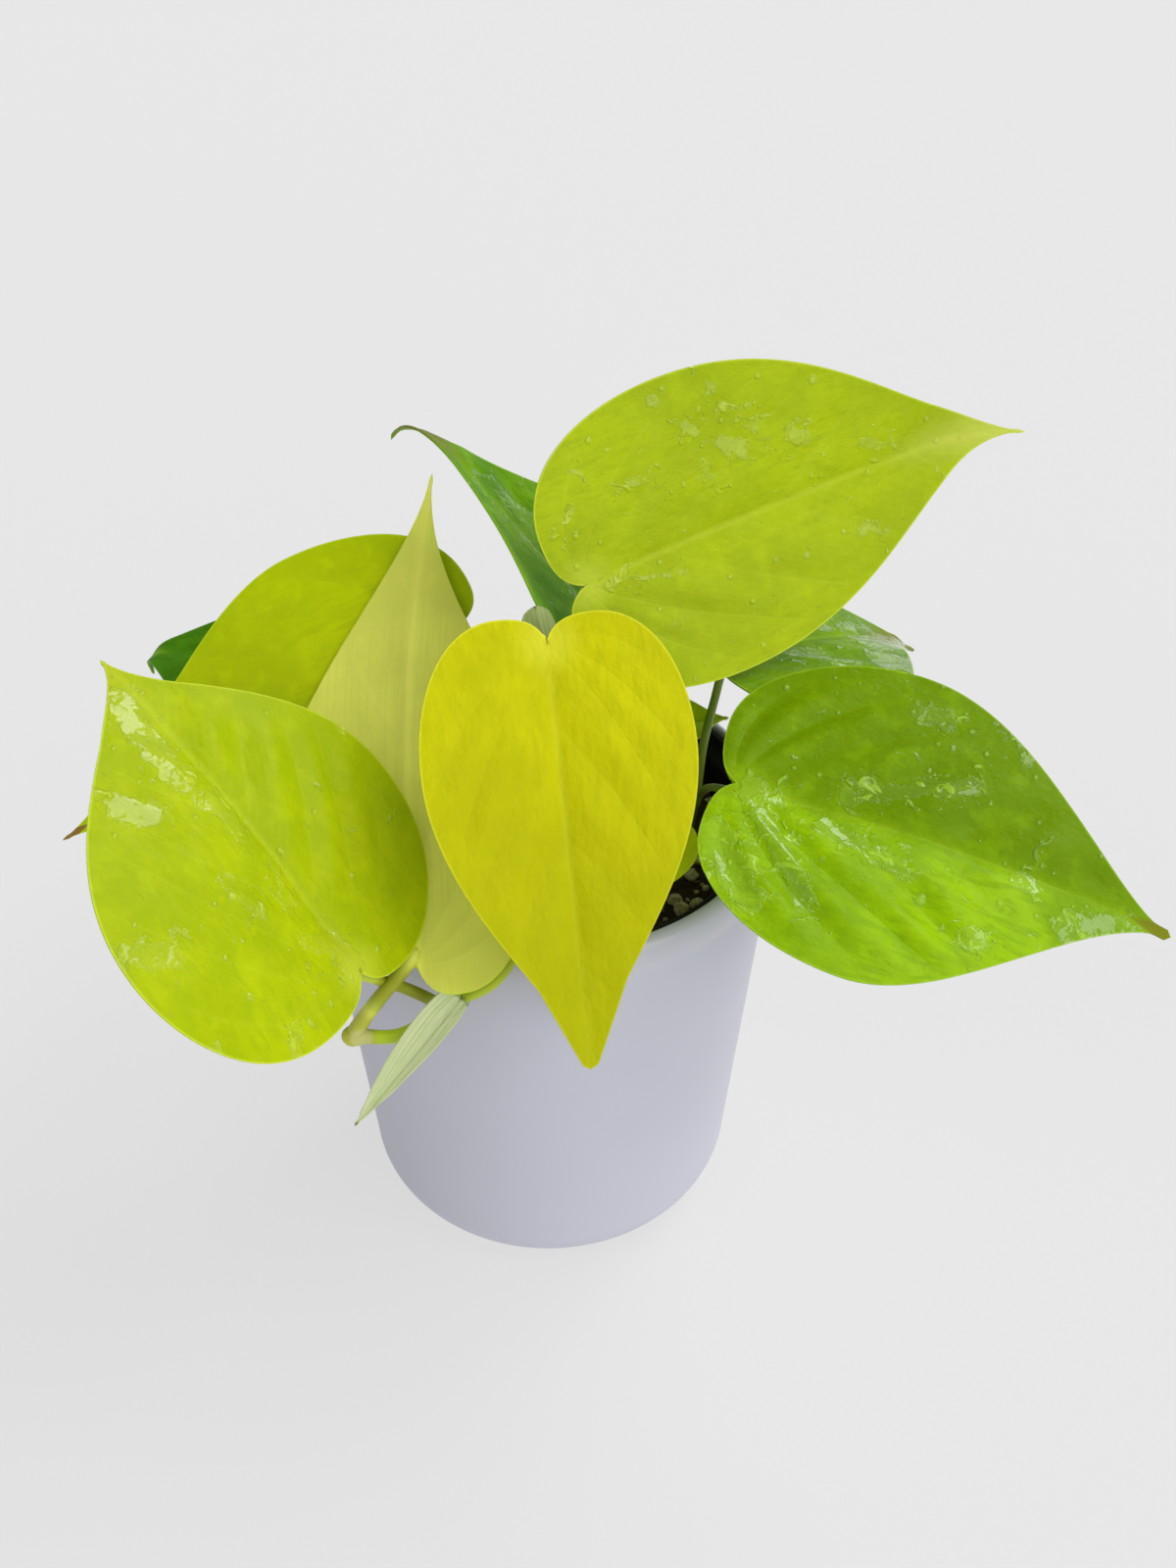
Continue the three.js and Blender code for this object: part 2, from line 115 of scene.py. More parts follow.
LEAVES = {
    "leaf_upper_right": Leaf(
        (10, -5.5, 184), 26, 11, 61, 110, 69, droop=-6, sweep=3, twist=10, left=1.04, right=0.92,
        tail_droop=-5, tail_sweep=20, lobe_depth=0.06, shoulder=0.37, tip_fine=0.04,
        colour=(0.42, 0.53, 0.001), shade=(0.35, 0.45, 0.001),
        vein=(0.56, 0.66, 0.04), vein_show=0.12,
        water=0.75, gloss=0.36, quilt=0.7, valley=1.2, tip_colour=(0.6, 0.66, 0.1), tip_show=0.8,
        pools=((-14, -2, -16, 2, 1), (-24, 6, -22, 8, 1.5), (-18, 17, -15, 21, 1.5), (-33, 26, -31, 28, 1),
               (-24, 32, -22, 34, 1.5), (-26, 39, -24, 42, 1.5), (-20, 45, -18, 48, 2),
               (-17, 40, -15, 43, 2.5), (-13, 33, -11, 36, 1.5), (-14, 55, -12, 58, 2),
               (-7, 70, -4, 76, 1), (12, 66, 14, 70, 2), (2, 6, 6, 22, 1)),
    ),
    "leaf_centre": Leaf(
        (2, -31, 186), -79, -55, -5, 91, 60, droop=8, sweep=-1, left=0.98, right=0.98,
        lobe_depth=0.06, tip_fine=0.16, tip_from=0.81,
        colour=(0.6, 0.59, 0.001), shade=(0.5, 0.5, 0.001), vein=(0.68, 0.68, 0.03), vein_show=0.06,
        gloss=0.42, wave=0.15, quilt=0.5, blunt=1.3, tip_colour=(0.38, 0.4, 0.001), tip_show=0.6,
        tip_start=0.35, shine=0.05, flare=0.45, cloud=0.15,
        back=(0.52, 0.55, 0.03), valley=0.6,
    ),
    "leaf_left": Leaf(
        (-37.5, -67.5, 128), 147, 58, 6, 86, 80, droop=35, sweep=4, twist=-6, fold=2, left=1.11,
        right=0.94, tail_droop=11, tail_sweep=9, lobe_spread=0.3, lobe_depth=0.07, widest_at=0.31,
        shoulder=0.38, tip_fine=0.06, tip_from=0.81,
        colour=(0.43, 0.52, 0.001), shade=(0.34, 0.44, 0.001), vein=(0.54, 0.63, 0.03), vein_show=0.12,
        water=0.7, gloss=0.34, quilt=1.2, valley=2.1, shine=0.07,
        pools=((-4, 76, -6, 66, 3), (-6, 62, -6, 54, 4), (-21, 56, -18, 52, 4), (-4, 47, -3, 37, 3),
               (-2, 28, -5, 20, 2), (-2, 9, -1, 2, 3.5), (-41, 33, -34, 28, 3), (-14, 31, -13, 27, 3),
               (-24, -3, -22, 0, 2), (-7, 12, -5, 10, 2)),
    ),
    "leaf_left_back": Leaf(
        (-22.5, 10.5, 160.5), 192, -21, -35, 107, 70, droop=10, sweep=-4, twist=-1, fold=4, cup=0.04,
        lobe_spread=0.25, lobe_depth=0.09, shoulder=0.22, tip_from=0.76,
        colour=(0.55, 0.67, 0.001), shade=(0.45, 0.57, 0.001), quilt=0.5, shine=0.06,
        tip_colour=(0.3, 0.14, 0.04), tip_show=0.9, tip_start=0.969,
    ),
    "leaf_pale_upright": Leaf(
        (-27, -55.5, 118.5), 99, 24, 162, 117, 64, droop=21, sweep=-22, twist=1, fold=1, left=0.97,
        right=1.01, lobe_right=0.1, tail_droop=4, tail_sweep=-3, tip_fine=0.07, tip_from=0.75,
        slot="leaf_underside", back=(0.88, 0.94, 0.13), quilt=0.5, colour=(0.48, 0.6, 0.01), keel=0.8,
    ),
    "leaf_upper_back": Leaf(
        (27.5, 16.5, 145), 189, 52, -24, 98, 63, droop=8, sweep=22, twist=29, cup=0.04, left=0.98,
        tail_from=0.75, tail_droop=68, tail_sweep=75, widest_at=0.25, shoulder=0.28, tip_fine=0.02,
        tip_from=0.66,
        slot="leaf_green", colour=(0.18, 0.38, 0.001), shade=(0.08, 0.24, 0.001),
        vein=(0.3, 0.5, 0.01), back=(0.24, 0.4, 0.02), water=1, gloss=0.4, shine=0.04,
        pools=((-8, 12, 4, 30, 9), (4, 40, 0, 62, 6)),
        quilt=0.6, tip_colour=(0.2, 0.12, 0.03), tip_show=0.9,
    ),
    "leaf_right_back": Leaf(
        (41.5, 1, 159), 43, -4, 6, 83, 65, droop=33, sweep=8, twist=-1, right=0.97, lobe_depth=0.05,
        shoulder=0.27, tail_from=0.82, tail_droop=45,
        slot="leaf_green", colour=(0.2, 0.36, 0.003), shade=(0.12, 0.27, 0.002),
        vein=(0.3, 0.46, 0.02), back=(0.25, 0.4, 0.02), water=1, gloss=0.36, shine=0.05,
        pools=((-20, 20, -12, 40, 8), (2, 50, 4, 66, 6), (16, 40, 20, 50, 5), (4, 20, 14, 28, 4)),
        quilt=0.8, tip_colour=(0.2, 0.17, 0.02), tip_show=0.8, blunt=3, tip_end=0.9,
        tip_start=0.84,
    ),
    "leaf_right": Leaf(
        (42.5, -34.5, 152), -15, -3, 18, 100, 76, droop=23, sweep=5, twist=14, cup=0.11, tail_droop=3,
        lobe_depth=0.05, widest_at=0.31, shoulder=0.25, tip_fine=0.1,
        slot="leaf_green", colour=(0.31, 0.52, 0.001), shade=(0.2, 0.36, 0.001), blunt=1.2,
        # its left half darkened by painted shade
        painted_half_shade=0.85,
        vein=(0.27, 0.44, 0.005), back=(0.28, 0.45, 0.02), water=0.9, gloss=0.32, shine=0.06, cloud=0.2,
        pools=((0, 3, 2, 8, 3), (4, 5, 14, 14, 3), (14, -2, 27, 8, 4), (10, 10, 25, 21, 2.5),
               (5, 20, 10, 39, 3), (-4, 24, -14, 48, 2.5), (-29, 36, -28, 40, 3.5), (-30, 53, -26, 59, 2.5),
               (2, 64, 2, 67, 2.5), (9, 78, 5, 90, 5), (19, 55, 20, 58, 3)),
        quilt=1.9, valley=2.2, tip_start=0.95, tip_colour=(0.2, 0.2, 0.01), tip_show=0.9,
    ),
    "leaf_far_left": Leaf(
        (-34.5, 13.5, 136), 156, 12, -11, 85, 64, droop=33, sweep=-2, twist=-2, fold=5, cup=0.07,
        tail_from=0.87, tail_droop=80, tail_sweep=-10, shoulder=0.25, tip_fine=0.1, tip_from=0.8,
        slot="leaf_green", colour=(0.08, 0.26, 0.004), shade=(0.05, 0.17, 0.003),
        vein=(0.1, 0.28, 0.01), back=(0.12, 0.27, 0.02), gloss=0.36, shine=0.04,
        tip_colour=(0.3, 0.5, 0.02), tip_show=0.9, tip_start=0.92,
    ),
    "leaf_small_right": Leaf(
        (26, -16, 126), -107, -13, -3, 27, 24, droop=7, sweep=-3, twist=-1, fold=8, cup=0.05,
        colour=(0.78, 0.95, 0.003), shade=(0.64, 0.8, 0.002), keel=0.6, quilt=0.05, wave=0.1,
    ),
    "leaf_small_back": Leaf(
        (22, 11, 134), 12, 4, 12, 24, 20, droop=17, sweep=-1, twist=1, fold=8, cup=0.05,
        slot="leaf_green", colour=(0.66, 0.82, 0.004), shade=(0.52, 0.66, 0.003),
        vein=(0.32, 0.42, 0.01), back=(0.28, 0.35, 0.02), keel=0.6, quilt=0.05, wave=0.1,
    ),
}

SHEATHS = {
    "front_sheath": Leaf(
        (-17.4, -61.9, 113.9), 205, -47, -47, 38, 8.4, droop=-4, fold=20, cup=0, left=0.65, right=1.15,
        lobe_spread=0.85, lobe_depth=0.01, widest_at=0.22, shoulder=0.35, tip_fine=0.3, tip_from=0.85,
        slot="sheath", colour=(0.66, 0.72, 0.42), shade=(0.48, 0.58, 0.24),
    ),
    "centre_sheath": Leaf(
        (2.5, -25, 174), 122, 66, -10, 15, 7.6, fold=-18, cup=0, lobe_spread=0.3, lobe_depth=0.005,
        widest_at=0.55, shoulder=0.3, tip_fine=0.75, tip_from=0.95,
        slot="sheath", colour=(0.42, 0.5, 0.19), shade=(0.32, 0.39, 0.13),
    ),
}


def metres(name, description, default):
    """A length setting."""
    return FloatProperty(name=name, description=description, default=default, unit="LENGTH")


def tint(name, description, default):
    """A colour setting."""
    return FloatVectorProperty(name=name, description=description, default=default, subtype="COLOR")


class PotSettings(bpy.types.PropertyGroup):
    """Sizes of the two pots"""

    height: metres("Height", "Cover pot height", 0.12)
    radius: metres("Rim radius", "Cover pot radius at its rim", 0.057)
    foot_radius: metres("Foot radius", "Cover pot radius above its rounded foot", 0.0483)
    foot_round: metres("Foot round", "Radius of the rounded lower edge", 0.014)
    wall: metres("Wall", "Cover pot wall thickness", 0.0032)
    steps: IntProperty(name="Steps", description="Faces around each pot", default=160)
    # painted shade: a grey darker than the white pot, standing in for the shade on its wall
    glaze: tint("Glaze", "Colour of the glaze", (0.58, 0.58, 0.67))
    plastic: tint("Plastic", "Colour of the nursery pot", (0.009, 0.01, 0.01))


class PlantSettings(bpy.types.PropertyGroup):
    """Sizes of the leaves, stems and potting mix"""

    blade: metres("Blade thickness", "Thickness of a leaf blade", 0.0005)
    rows: IntProperty(name="Rows", description="Faces along a blade", default=108)
    columns: IntProperty(name="Columns", description="Faces across a blade", default=48)
    soil_radius: metres("Soil radius", "Radius of the potting mix at its top", 0.0466)
    chips: IntProperty(name="Chips", description="Bark chips on the potting mix", default=150)
    crumbs: IntProperty(name="Perlite", description="Small lumps of perlite", default=34)
    stem: tint("Stem", "Colour of the lime stems", (0.74, 0.79, 0.1))
    stem_dark: tint("Dark stem", "Colour of the dark green stems", (0.3, 0.38, 0.06))


class StageSettings(bpy.types.PropertyGroup):
    """Floor, light and camera"""

    floor: tint("Floor", "Colour of the floor", (0.2, 0.2, 0.2))
    glow: FloatProperty(name="Glow", description="Light of the floor, which softens shadows", default=0.6)
    sky: FloatProperty(name="Sky", description="Strength of the light from above", default=0.4)
    horizon: FloatProperty(name="Horizon", description="Strength of the light from the sides", default=0.25)
    lens: FloatProperty(name="Lens", description="Focal length in millimetres", default=40)
    eye: FloatVectorProperty(name="Eye", description="Place of the camera", subtype="TRANSLATION",
                             unit="LENGTH", default=(0.010468, -0.330985, 0.383424))
    tilt: FloatProperty(name="Tilt", description="Camera angle from straight down", subtype="ANGLE",
                        default=math.radians(52))


# Blade form

LOBE_TO, WIDEST_TO = 0.2, 0.5  # where the parts of half an outline meet
ROUNDED_FROM, ROUNDED_MOST = 0.8, 0.35  # where a tip's rounding may start, and its most in half-widths


def bezier(t, a, b, c, d):
    """A cubic curve's value at t, from its two ends and the two control values between them."""
    s = 1 - t
    return a * s**3 + 3 * b * s * s * t + 3 * c * s * t * t + d * t**3


def outline(leaf, v):
    """Half of a blade's outline, in half-widths and lengths, from the notch at 0 to the tip at 1."""
    x, y = plain_outline(leaf, v)
    if v <= ROUNDED_FROM:
        return x, y
    left = max(0, (leaf.tip_end - y) * leaf.length)
    corner = min(left, leaf.blunt)
    rounded = (math.sqrt(corner * (2 * leaf.blunt - corner)) + leaf.flare * left) / (leaf.width / 2)
    return max(x, min(rounded, ROUNDED_MOST)), y


def plain_outline(leaf, v):
    """The same outline before its tip is rounded: the lobe's end, its side, and the side to the tip."""
    spread, depth, widest = leaf.lobe_spread, leaf.lobe_depth, leaf.widest_at
    if v <= LOBE_TO:
        t = v / LOBE_TO
        return bezier(t, 0, 0.05, 0.5 * spread, spread), bezier(t, 0, -0.8 * depth, -depth, -depth)
    if v <= WIDEST_TO:
        t = (v - LOBE_TO) / (WIDEST_TO - LOBE_TO)
        return bezier(t, spread, 0.74, 1, 1), bezier(t, -depth, -depth, widest - 0.19, widest)
    t = (v - WIDEST_TO) / (1 - WIDEST_TO)
    return (
        bezier(t, 1, 1, leaf.tip_fine, 0),
        bezier(t, widest, widest + leaf.shoulder, leaf.tip_from * leaf.tip_end, leaf.tip_end),
    )


def midrib(leaf, steps=40):
    """The place and the directions along, up and across at each step of a blade's midrib."""
    h, p, r = (math.radians(a) for a in (leaf.heading, leaf.pitch, leaf.roll))
    along = Vector((math.cos(p) * math.cos(h), math.cos(p) * math.sin(h), math.sin(p)))
    up = Vector((-math.sin(p) * math.cos(h), -math.sin(p) * math.sin(h), math.cos(p)))
    across = along.cross(up)
    up = up * math.cos(r) + across * math.sin(r)
    across = along.cross(up)
    place = Vector(leaf.base)
    frames = [(place.copy(), along.copy(), up.copy(), across.copy())]
    for i in range(steps):
        tail = 1 / (1 - leaf.tail_from) if (i + 0.5) / steps > leaf.tail_from else 0
        down = math.radians(leaf.droop + tail * leaf.tail_droop) / steps
        aside = math.radians(leaf.sweep + tail * leaf.tail_sweep) / steps
        along = (along - up * down + across * aside).normalized()
        up = up + across * (math.radians(leaf.twist) / steps)
        up = (up - along * up.dot(along)).normalized()
        across = along.cross(up)
        place = place + along * (leaf.length / steps)
        frames.append((place.copy(), along.copy(), up.copy(), across.copy()))
    return frames


def on_midrib(leaf, frames, y):
    """The place and the directions at y millimetres from the base, which may lie behind it."""
    at = min(max(y / leaf.length, 0), 1) * (len(frames) - 1)
    i = min(int(at), len(frames) - 2)
    place, along, up, across = (a.lerp(b, at - i) for a, b in zip(frames[i], frames[i + 1]))
    return place + frames[0][1] * min(y, 0), along, up, across


def smooth_step(low, high, value):
    """0 up to low, 1 from high on, and smooth between."""
    t = min(max((value - low) / (high - low), 0), 1)
    return t * t * (3 - 2 * t)


VEIN_SLOPE, VEIN_CURVE = 1.1, 1.7  # how steeply a side vein leaves the midrib, and how it then rises
VEINS_ALONG, VEINS_FANNED = 3.8, 1.7  # side veins along the midrib, and for each radian of the lobe's fan


def vein_phase(leaf, x, y):
    """Counts the side veins: whole numbers lie on one. Veins leave the midrib and curve to the tip."""
    reach = abs(x)
    risen = y - VEIN_CURVE * reach * reach / leaf.width
    start = risen - VEIN_SLOPE * reach
    if start >= 0:
        return VEINS_ALONG * (start / leaf.length) ** 0.8
    return (math.atan2(risen, max(reach, 1e-3)) - math.atan(VEIN_SLOPE)) * VEINS_FANNED


def relief(leaf, x, y, side, phase, seed):
    """Height of the surface over the plain blade, in millimetres."""
    along = y / leaf.length
    # swollen between the side veins, but flat at the midrib, at the margin and round the notch
    between = (1 - math.cos(2 * math.pi * phase)) / 2 + 0.3 * abs(math.sin(math.pi * phase)) - 0.7
    away = smooth_step(0, 0.1 * leaf.width, abs(x)) * (1 - smooth_step(0.6, 1, side))
    away *= smooth_step(0, 26, math.hypot(x, y))
    uneven = 0.75 + 0.8 * noise.noise(Vector((x / 20, y / 20, seed + 3)))
    quilted = leaf.quilt * uneven * between * away
    # a broad valley and a narrow groove over the midrib, which end before the notch and the tip
    middle = leaf.valley * math.exp(-abs(x) / (0.1 * leaf.width)) + 0.3 * math.exp(-((x / 1.8) ** 2))
    middle *= smooth_step(0.03, 0.16, along) * (1 - smooth_step(0.6, 0.97, along))
    # a waved margin and shallow dimples
    waved = leaf.wave * noise.noise(Vector((4.5 * along, 2 * math.copysign(1, x), seed)))
    dimpled = 0.3 * noise.noise(Vector((x / 8, y / 8, seed + 7)))
    calm = smooth_step(0, 0.2, along + 0.12) * (1 - smooth_step(0.85, 1, along))
    return quilted - middle + calm * (waved * side**4 * 2 + dimpled * (1 - side**6))


def sheath_relief(leaf, x, y, side, phase, seed):
    """Fine lengthwise lines and a few crumpled folds, strongest towards the stem."""
    top = 1 - smooth_step(0.1, 0.55, y / leaf.length)
    crumpled = noise.noise(Vector((x / 1.1, y / 3.2, seed))) * 0.28 * (0.25 + top)
    return crumpled + 0.05 * math.sin(x * 6)


def to_pool(leaf, x, y):
    """Millimetres from a place on a blade to the edge of the nearest pool, less than 0 inside it."""
    nearest = 30
    for x0, y0, x1, y1, radius in leaf.pools:
        start, stroke = Vector((x0, y0)), Vector((x1 - x0, y1 - y0))
        along = min(max((Vector((x, y)) - start).dot(stroke) / stroke.length_squared, 0), 1)
        nearest = min(nearest, (Vector((x, y)) - start - stroke * along).length - radius)
    return nearest


GATHERED = 1.35  # more than 1 gathers a blade's columns of faces at its midrib
SOFT_CREASE = 0.03  # half-widths over which the two halves bend into each other
LOWER_FACE = -0.35  # a face that is turned this far from up is on the underside
SHARP_EDGE = math.radians(50)


def blade_mesh(leaf, seed, rows, columns, thickness, surface):
    """A blade as a closed bmesh, its upper faces on material 0 and its lower ones on 1."""
    frames = midrib(leaf)
    half, slope = leaf.width / 2, math.tan(math.radians(leaf.fold))
    bm = bmesh.new()
    bmesh.ops.create_grid(bm, x_segments=columns, y_segments=rows, size=0.5)
    uv = bm.loops.layers.uv.new("blade")
    vein, rib, rim, seat, pool = (
        bm.verts.layers.float.new(key) for key in ("vein", "rib", "rim", "seat", "pool"))
    above, flat = (bm.verts.layers.float_vector.new(key) for key in ("above", "flat"))
    margin = kdtree.KDTree(4 * rows + 2)
    number = 0
    for sign, share in ((-1, leaf.left), (1, leaf.right)):
        for i in range(2 * rows + 1):
            ex, ey = outline(leaf, i / (2 * rows))
            back = leaf.lobe_right if ey < 0 and sign > 0 else 1
            margin.insert((sign * ex * half * share, ey * back * leaf.length, 0), number)
            number += 1
    margin.balance()
    for vert in bm.verts:
        u, v = 2 * vert.co.x, min(max(vert.co.y + 0.5, 0), 1)
        for loop in vert.link_loops:
            loop[uv].uv = (vert.co.x + 0.5, v)
        side = abs(u) ** GATHERED
        ex, ey = outline(leaf, v)
        if ey < 0 and u > 0:
            ey *= leaf.lobe_right
        x = math.copysign(ex * half * side, u) * (leaf.left if u < 0 else leaf.right)
        middle = leaf.tip_end * v**2.5
        y = (middle + (ey - middle) * side**1.4) * leaf.length
        share = abs(x) / half
        crease = math.sqrt(share**2 + SOFT_CREASE**2) - SOFT_CREASE
        phase = vein_phase(leaf, x, y)
        z = half * (slope * crease - leaf.cup * share**2) + surface(leaf, x, y, side, phase, seed)
        place, along, up, across = on_midrib(leaf, frames, y)
        vert.co = (place + across * x + up * z) * MM
        vert[vein] = phase
        vert[rib] = abs(x)
        vert[seat] = math.hypot(x, y)
        vert[pool] = to_pool(leaf, x, y)
        vert[rim] = margin.find((x, y, 0))[2]
        vert[above] = up
        vert[flat] = Vector((x, y, 3 * seed))
    weld(bm)
    bm.normal_update()
    for vert, normal in [(vert, vert.normal.copy()) for vert in bm.verts]:
        vert.co += normal * (thickness / 2)
    count = len(bm.verts)
    bmesh.ops.solidify(bm, geom=bm.faces[:], thickness=thickness)
    bm.normal_update()
    bm.verts.ensure_lookup_table()
    for vert, normal in [(vert, vert.normal.copy()) for vert in bm.verts[count:]]:
        x, y, z = vert[flat]
        vert.co += normal * ridge(leaf, x, y) * MM
    bm.normal_update()
    for face in bm.faces:
        face.smooth = True
        turn = face.normal.dot(sum((vert[above] for vert in face.verts), Vector()).normalized())
        face.material_index = 1 if turn < LOWER_FACE else 0
    for edge in bm.edges:
        if len(edge.link_faces) == 2 and edge.calc_face_angle(0) > SHARP_EDGE:
            edge.smooth = False
    return bm


def ridge(leaf, x, y):
    """How far the midrib stands out under the blade, in millimetres."""
    share = min(max(y / leaf.length, 0), 1)
    height = leaf.keel * (1 - share) ** 1.2 * math.exp(-((min(y, 0) / 1.6) ** 2))
    spread = 0.35 + 1.1 * leaf.keel * (1 - 0.75 * share)
    return height * math.exp(-((x / spread) ** 2))


# Stems

STEPS_BETWEEN = 8  # places on a stem's line between two of its points
STEM_SIDES = 3  # extra faces in each quarter of a stem
CAP_ANGLES = (0.5, 0.95, 1.3, 1.5)  # in radians, the steps of a stem's round end
NODE_REACH = 2.6  # millimetres over which a stem swells at a node
BURIED = 11  # millimetres that a vine stands in the potting mix


def smooth_line(points):
    """Points on a centripetal spline through the given ones, in millimetres."""
    ends = [2 * Vector(points[0]) - Vector(points[1])]
    tail = [2 * Vector(points[-1]) - Vector(points[-2])]
    p = ends + [Vector(q) for q in points] + tail
    line = []
    for i in range(1, len(p) - 2):
        a, b, c, d = p[i - 1 : i + 3]
        ta = 0
        tb = ta + math.sqrt((b - a).length)
        tc = tb + math.sqrt((c - b).length)
        td = tc + math.sqrt((d - c).length)
        for k in range(STEPS_BETWEEN):
            t = tb + (tc - tb) * k / STEPS_BETWEEN
            ab = a.lerp(b, (t - ta) / (tb - ta))
            bc = b.lerp(c, (t - tb) / (tc - tb))
            cd = c.lerp(d, (t - tc) / (td - tc))
            near, far = ab.lerp(bc, (t - ta) / (tc - ta)), bc.lerp(cd, (t - tb) / (td - tb))
            line.append(near.lerp(far, (t - tb) / (tc - tb)))
    line.append(Vector(points[-1]))
    return line


def tube_mesh(points, radii):
    """A closed round tube through the points, with a radius at each, all in millimetres."""
    curve = bpy.data.curves.new("stem", "CURVE")
    curve.dimensions = "3D"
    curve.bevel_depth = MM
    curve.bevel_resolution = STEM_SIDES
    curve.use_fill_caps = True
    spline = curve.splines.new("POLY")
    spline.points.add(len(points) - 1)
    for point, place, radius in zip(spline.points, points, radii):
        point.co = (*(place * MM), 1)
        point.radius = radius
    made = linked("stem", curve)
    mesh = bpy.data.meshes.new_from_object(made.evaluated_get(bpy.context.evaluated_depsgraph_get()))
    bpy.data.objects.remove(made)
    bpy.data.curves.remove(curve)
    return mesh


def add_stem(bm, points, radius, end_radius=None, swellings=()):
    """A stem along a smooth line, tapered to end_radius and swollen at its nodes."""
    line = smooth_line(points)
    lengths = [0]
    for a, b in zip(line, line[1:]):
        lengths.append(lengths[-1] + (b - a).length)
    end_radius = radius if end_radius is None else end_radius
    radii = []
    for place, length in zip(line, lengths):
        share = length / lengths[-1]
        size = radius + (end_radius - radius) * share
        for node, extra in swellings:
            size += extra * math.exp(-(((place - Vector(node)).length / NODE_REACH) ** 2))
        radii.append(size * (1 + 0.03 * noise.noise(place / 6)))
    for end, inner in ((0, 1), (-1, -2)):
        out, size = (line[end] - line[inner]).normalized(), radii[end]
        cap = [(line[end] + out * size * math.sin(a), size * math.cos(a)) for a in CAP_ANGLES]
        if end == 0:
            cap.reverse()
        at = 0 if end == 0 else len(line)
        line[at:at] = [place for place, r in cap]
        radii[at:at] = [r for place, r in cap]
    mesh = tube_mesh(line, radii)
    bm.from_mesh(mesh)
    bpy.data.meshes.remove(mesh)


def standing(*points):
    """A stem's points, with two below the first one in the potting mix."""
    x, y, z = points[0]
    return [(x, y, z - BURIED), (x, y, z - BURIED / 2), *points]


def petiole_end(name, radius):
    """Where a petiole meets its blade: just under the base, and the way into the midrib's keel."""
    leaf = LEAVES[name]
    place, along, up, across = midrib(leaf)[0]
    below = place - up * (PETIOLE_GAP + radius) + along * (radius / 2)
    inside = place - up * (0.3 + 0.85 * radius) + along * (radius / 2 + 1.2)
    return [tuple(below), tuple(inside)]


# Meshes and objects


def linked(name, data):
    """A new object of the data, in the scene."""
    made = bpy.data.objects.new(name, data)
    bpy.context.scene.collection.objects.link(made)
    return made


def to_object(name, bm, finishes=()):
    """A new object of a bmesh, which is freed."""
    mesh = bpy.data.meshes.new(name)
    bm.to_mesh(mesh)
    bm.free()
    for made in finishes:
        mesh.materials.append(made)
    return linked(name, mesh)


def piece(name, bm, finishes, replaces=None):
    """Makes an object of a bmesh, on the root body and in the place of its node."""
    made = to_object(name, bm, finishes)
    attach(made, "root")
    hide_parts(replaces or name)
    return made


def weld(bm):
    """Merges vertices that share a place."""
    bmesh.ops.remove_doubles(bm, verts=bm.verts[:], dist=1e-7)


def smooth(bm):
    """Shades all faces smooth."""
    for face in bm.faces:
        face.smooth = True


def arc(cx, cz, radius, start, end, steps):
    """Points on an arc of a profile, between two angles in degrees."""
    angles = [math.radians(start + (end - start) * i / steps) for i in range(steps + 1)]
    return [(cx + radius * math.cos(a), cz + radius * math.sin(a)) for a in angles]


def turned(profile, steps):
    """A closed body of revolution about Z from a profile that starts and ends on the axis."""
    bm = bmesh.new()
    verts = [bm.verts.new((r, 0, z)) for r, z in profile]
    edges = [bm.edges.new(pair) for pair in zip(verts, verts[1:])]
    bmesh.ops.spin(bm, geom=verts + edges, cent=(0, 0, 0), axis=(0, 0, 1), angle=2 * math.pi,
                   steps=steps, use_merge=True, use_duplicate=False)
    weld(bm)
    bmesh.ops.recalc_face_normals(bm, faces=bm.faces[:])
    smooth(bm)
    return bm


def in_metres(profile):
    """A profile's points from millimetres."""
    return [(r * MM, z * MM) for r, z in profile]


# Finishes: lengths are in metres, but in millimetres on the attributes of a blade

LEAF_FLESH = {"subsurface_weight": 0.15, "subsurface_scale": 0.002, "subsurface_radius": (0.6, 1.0, 0.1)}
WATER_IOR = 1.38
FINE_VEINS = 9.0  # for each side vein


def node(tree, kind, values=None, **settings):
    """A shader node with its settings, and with its inputs given as values or as sockets."""
    made = tree.nodes.new("ShaderNode" + kind)
    for key, value in settings.items():
        setattr(made, key, value)
    for key, value in (values or {}).items():
        if isinstance(value, bpy.types.NodeSocket):
            tree.links.new(value, made.inputs[key])
        else:
            made.inputs[key].default_value = value
    return made


def maths(operation, *values):
    """A sum on values and sockets, at least one of them a socket."""
    tree = next(value.id_data for value in values if isinstance(value, bpy.types.NodeSocket))
    return node(tree, "Math", dict(enumerate(values)), operation=operation).outputs[0]


def fade(value, start, end, low=0.0, high=1.0):
    """Low at start, high at end, and smooth between."""
    values = {"Value": value, "From Min": start, "From Max": end, "To Min": low, "To Max": high}
    return node(value.id_data, "MapRange", values, interpolation_type="SMOOTHSTEP").outputs[0]


def blend(factor, a, b):
    """A colour between a and b."""
    a, b = ((*c, 1) if isinstance(c, tuple) and len(c) == 3 else c for c in (a, b))
    return node(factor.id_data, "Mix", {0: factor, 6: a, 7: b}, data_type="RGBA").outputs[2]


def toned(colour, factor, lift=0):
    """A colour made darker or paler."""
    return tuple(min(1, factor * part + lift) for part in colour)


def spread(texture, low=0.0, high=1.0):
    """A noise texture's usual values, which lie about its middle, made to run from low to high."""
    return fade(texture, 0.3, 0.7, low, high)


def part_of(vector, axis):
    """One part of a vector."""
    return node(vector.id_data, "SeparateXYZ", {"Vector": vector}).outputs[axis]


def grain(where, scale, detail=2.0, roughness=0.5, distortion=0.0):
    """A noise texture's height."""
    values = {"Vector": where, "Scale": scale, "Detail": detail, "Roughness": roughness,
              "Distortion": distortion}
    return node(where.id_data, "TexNoise", values).outputs["Fac"]


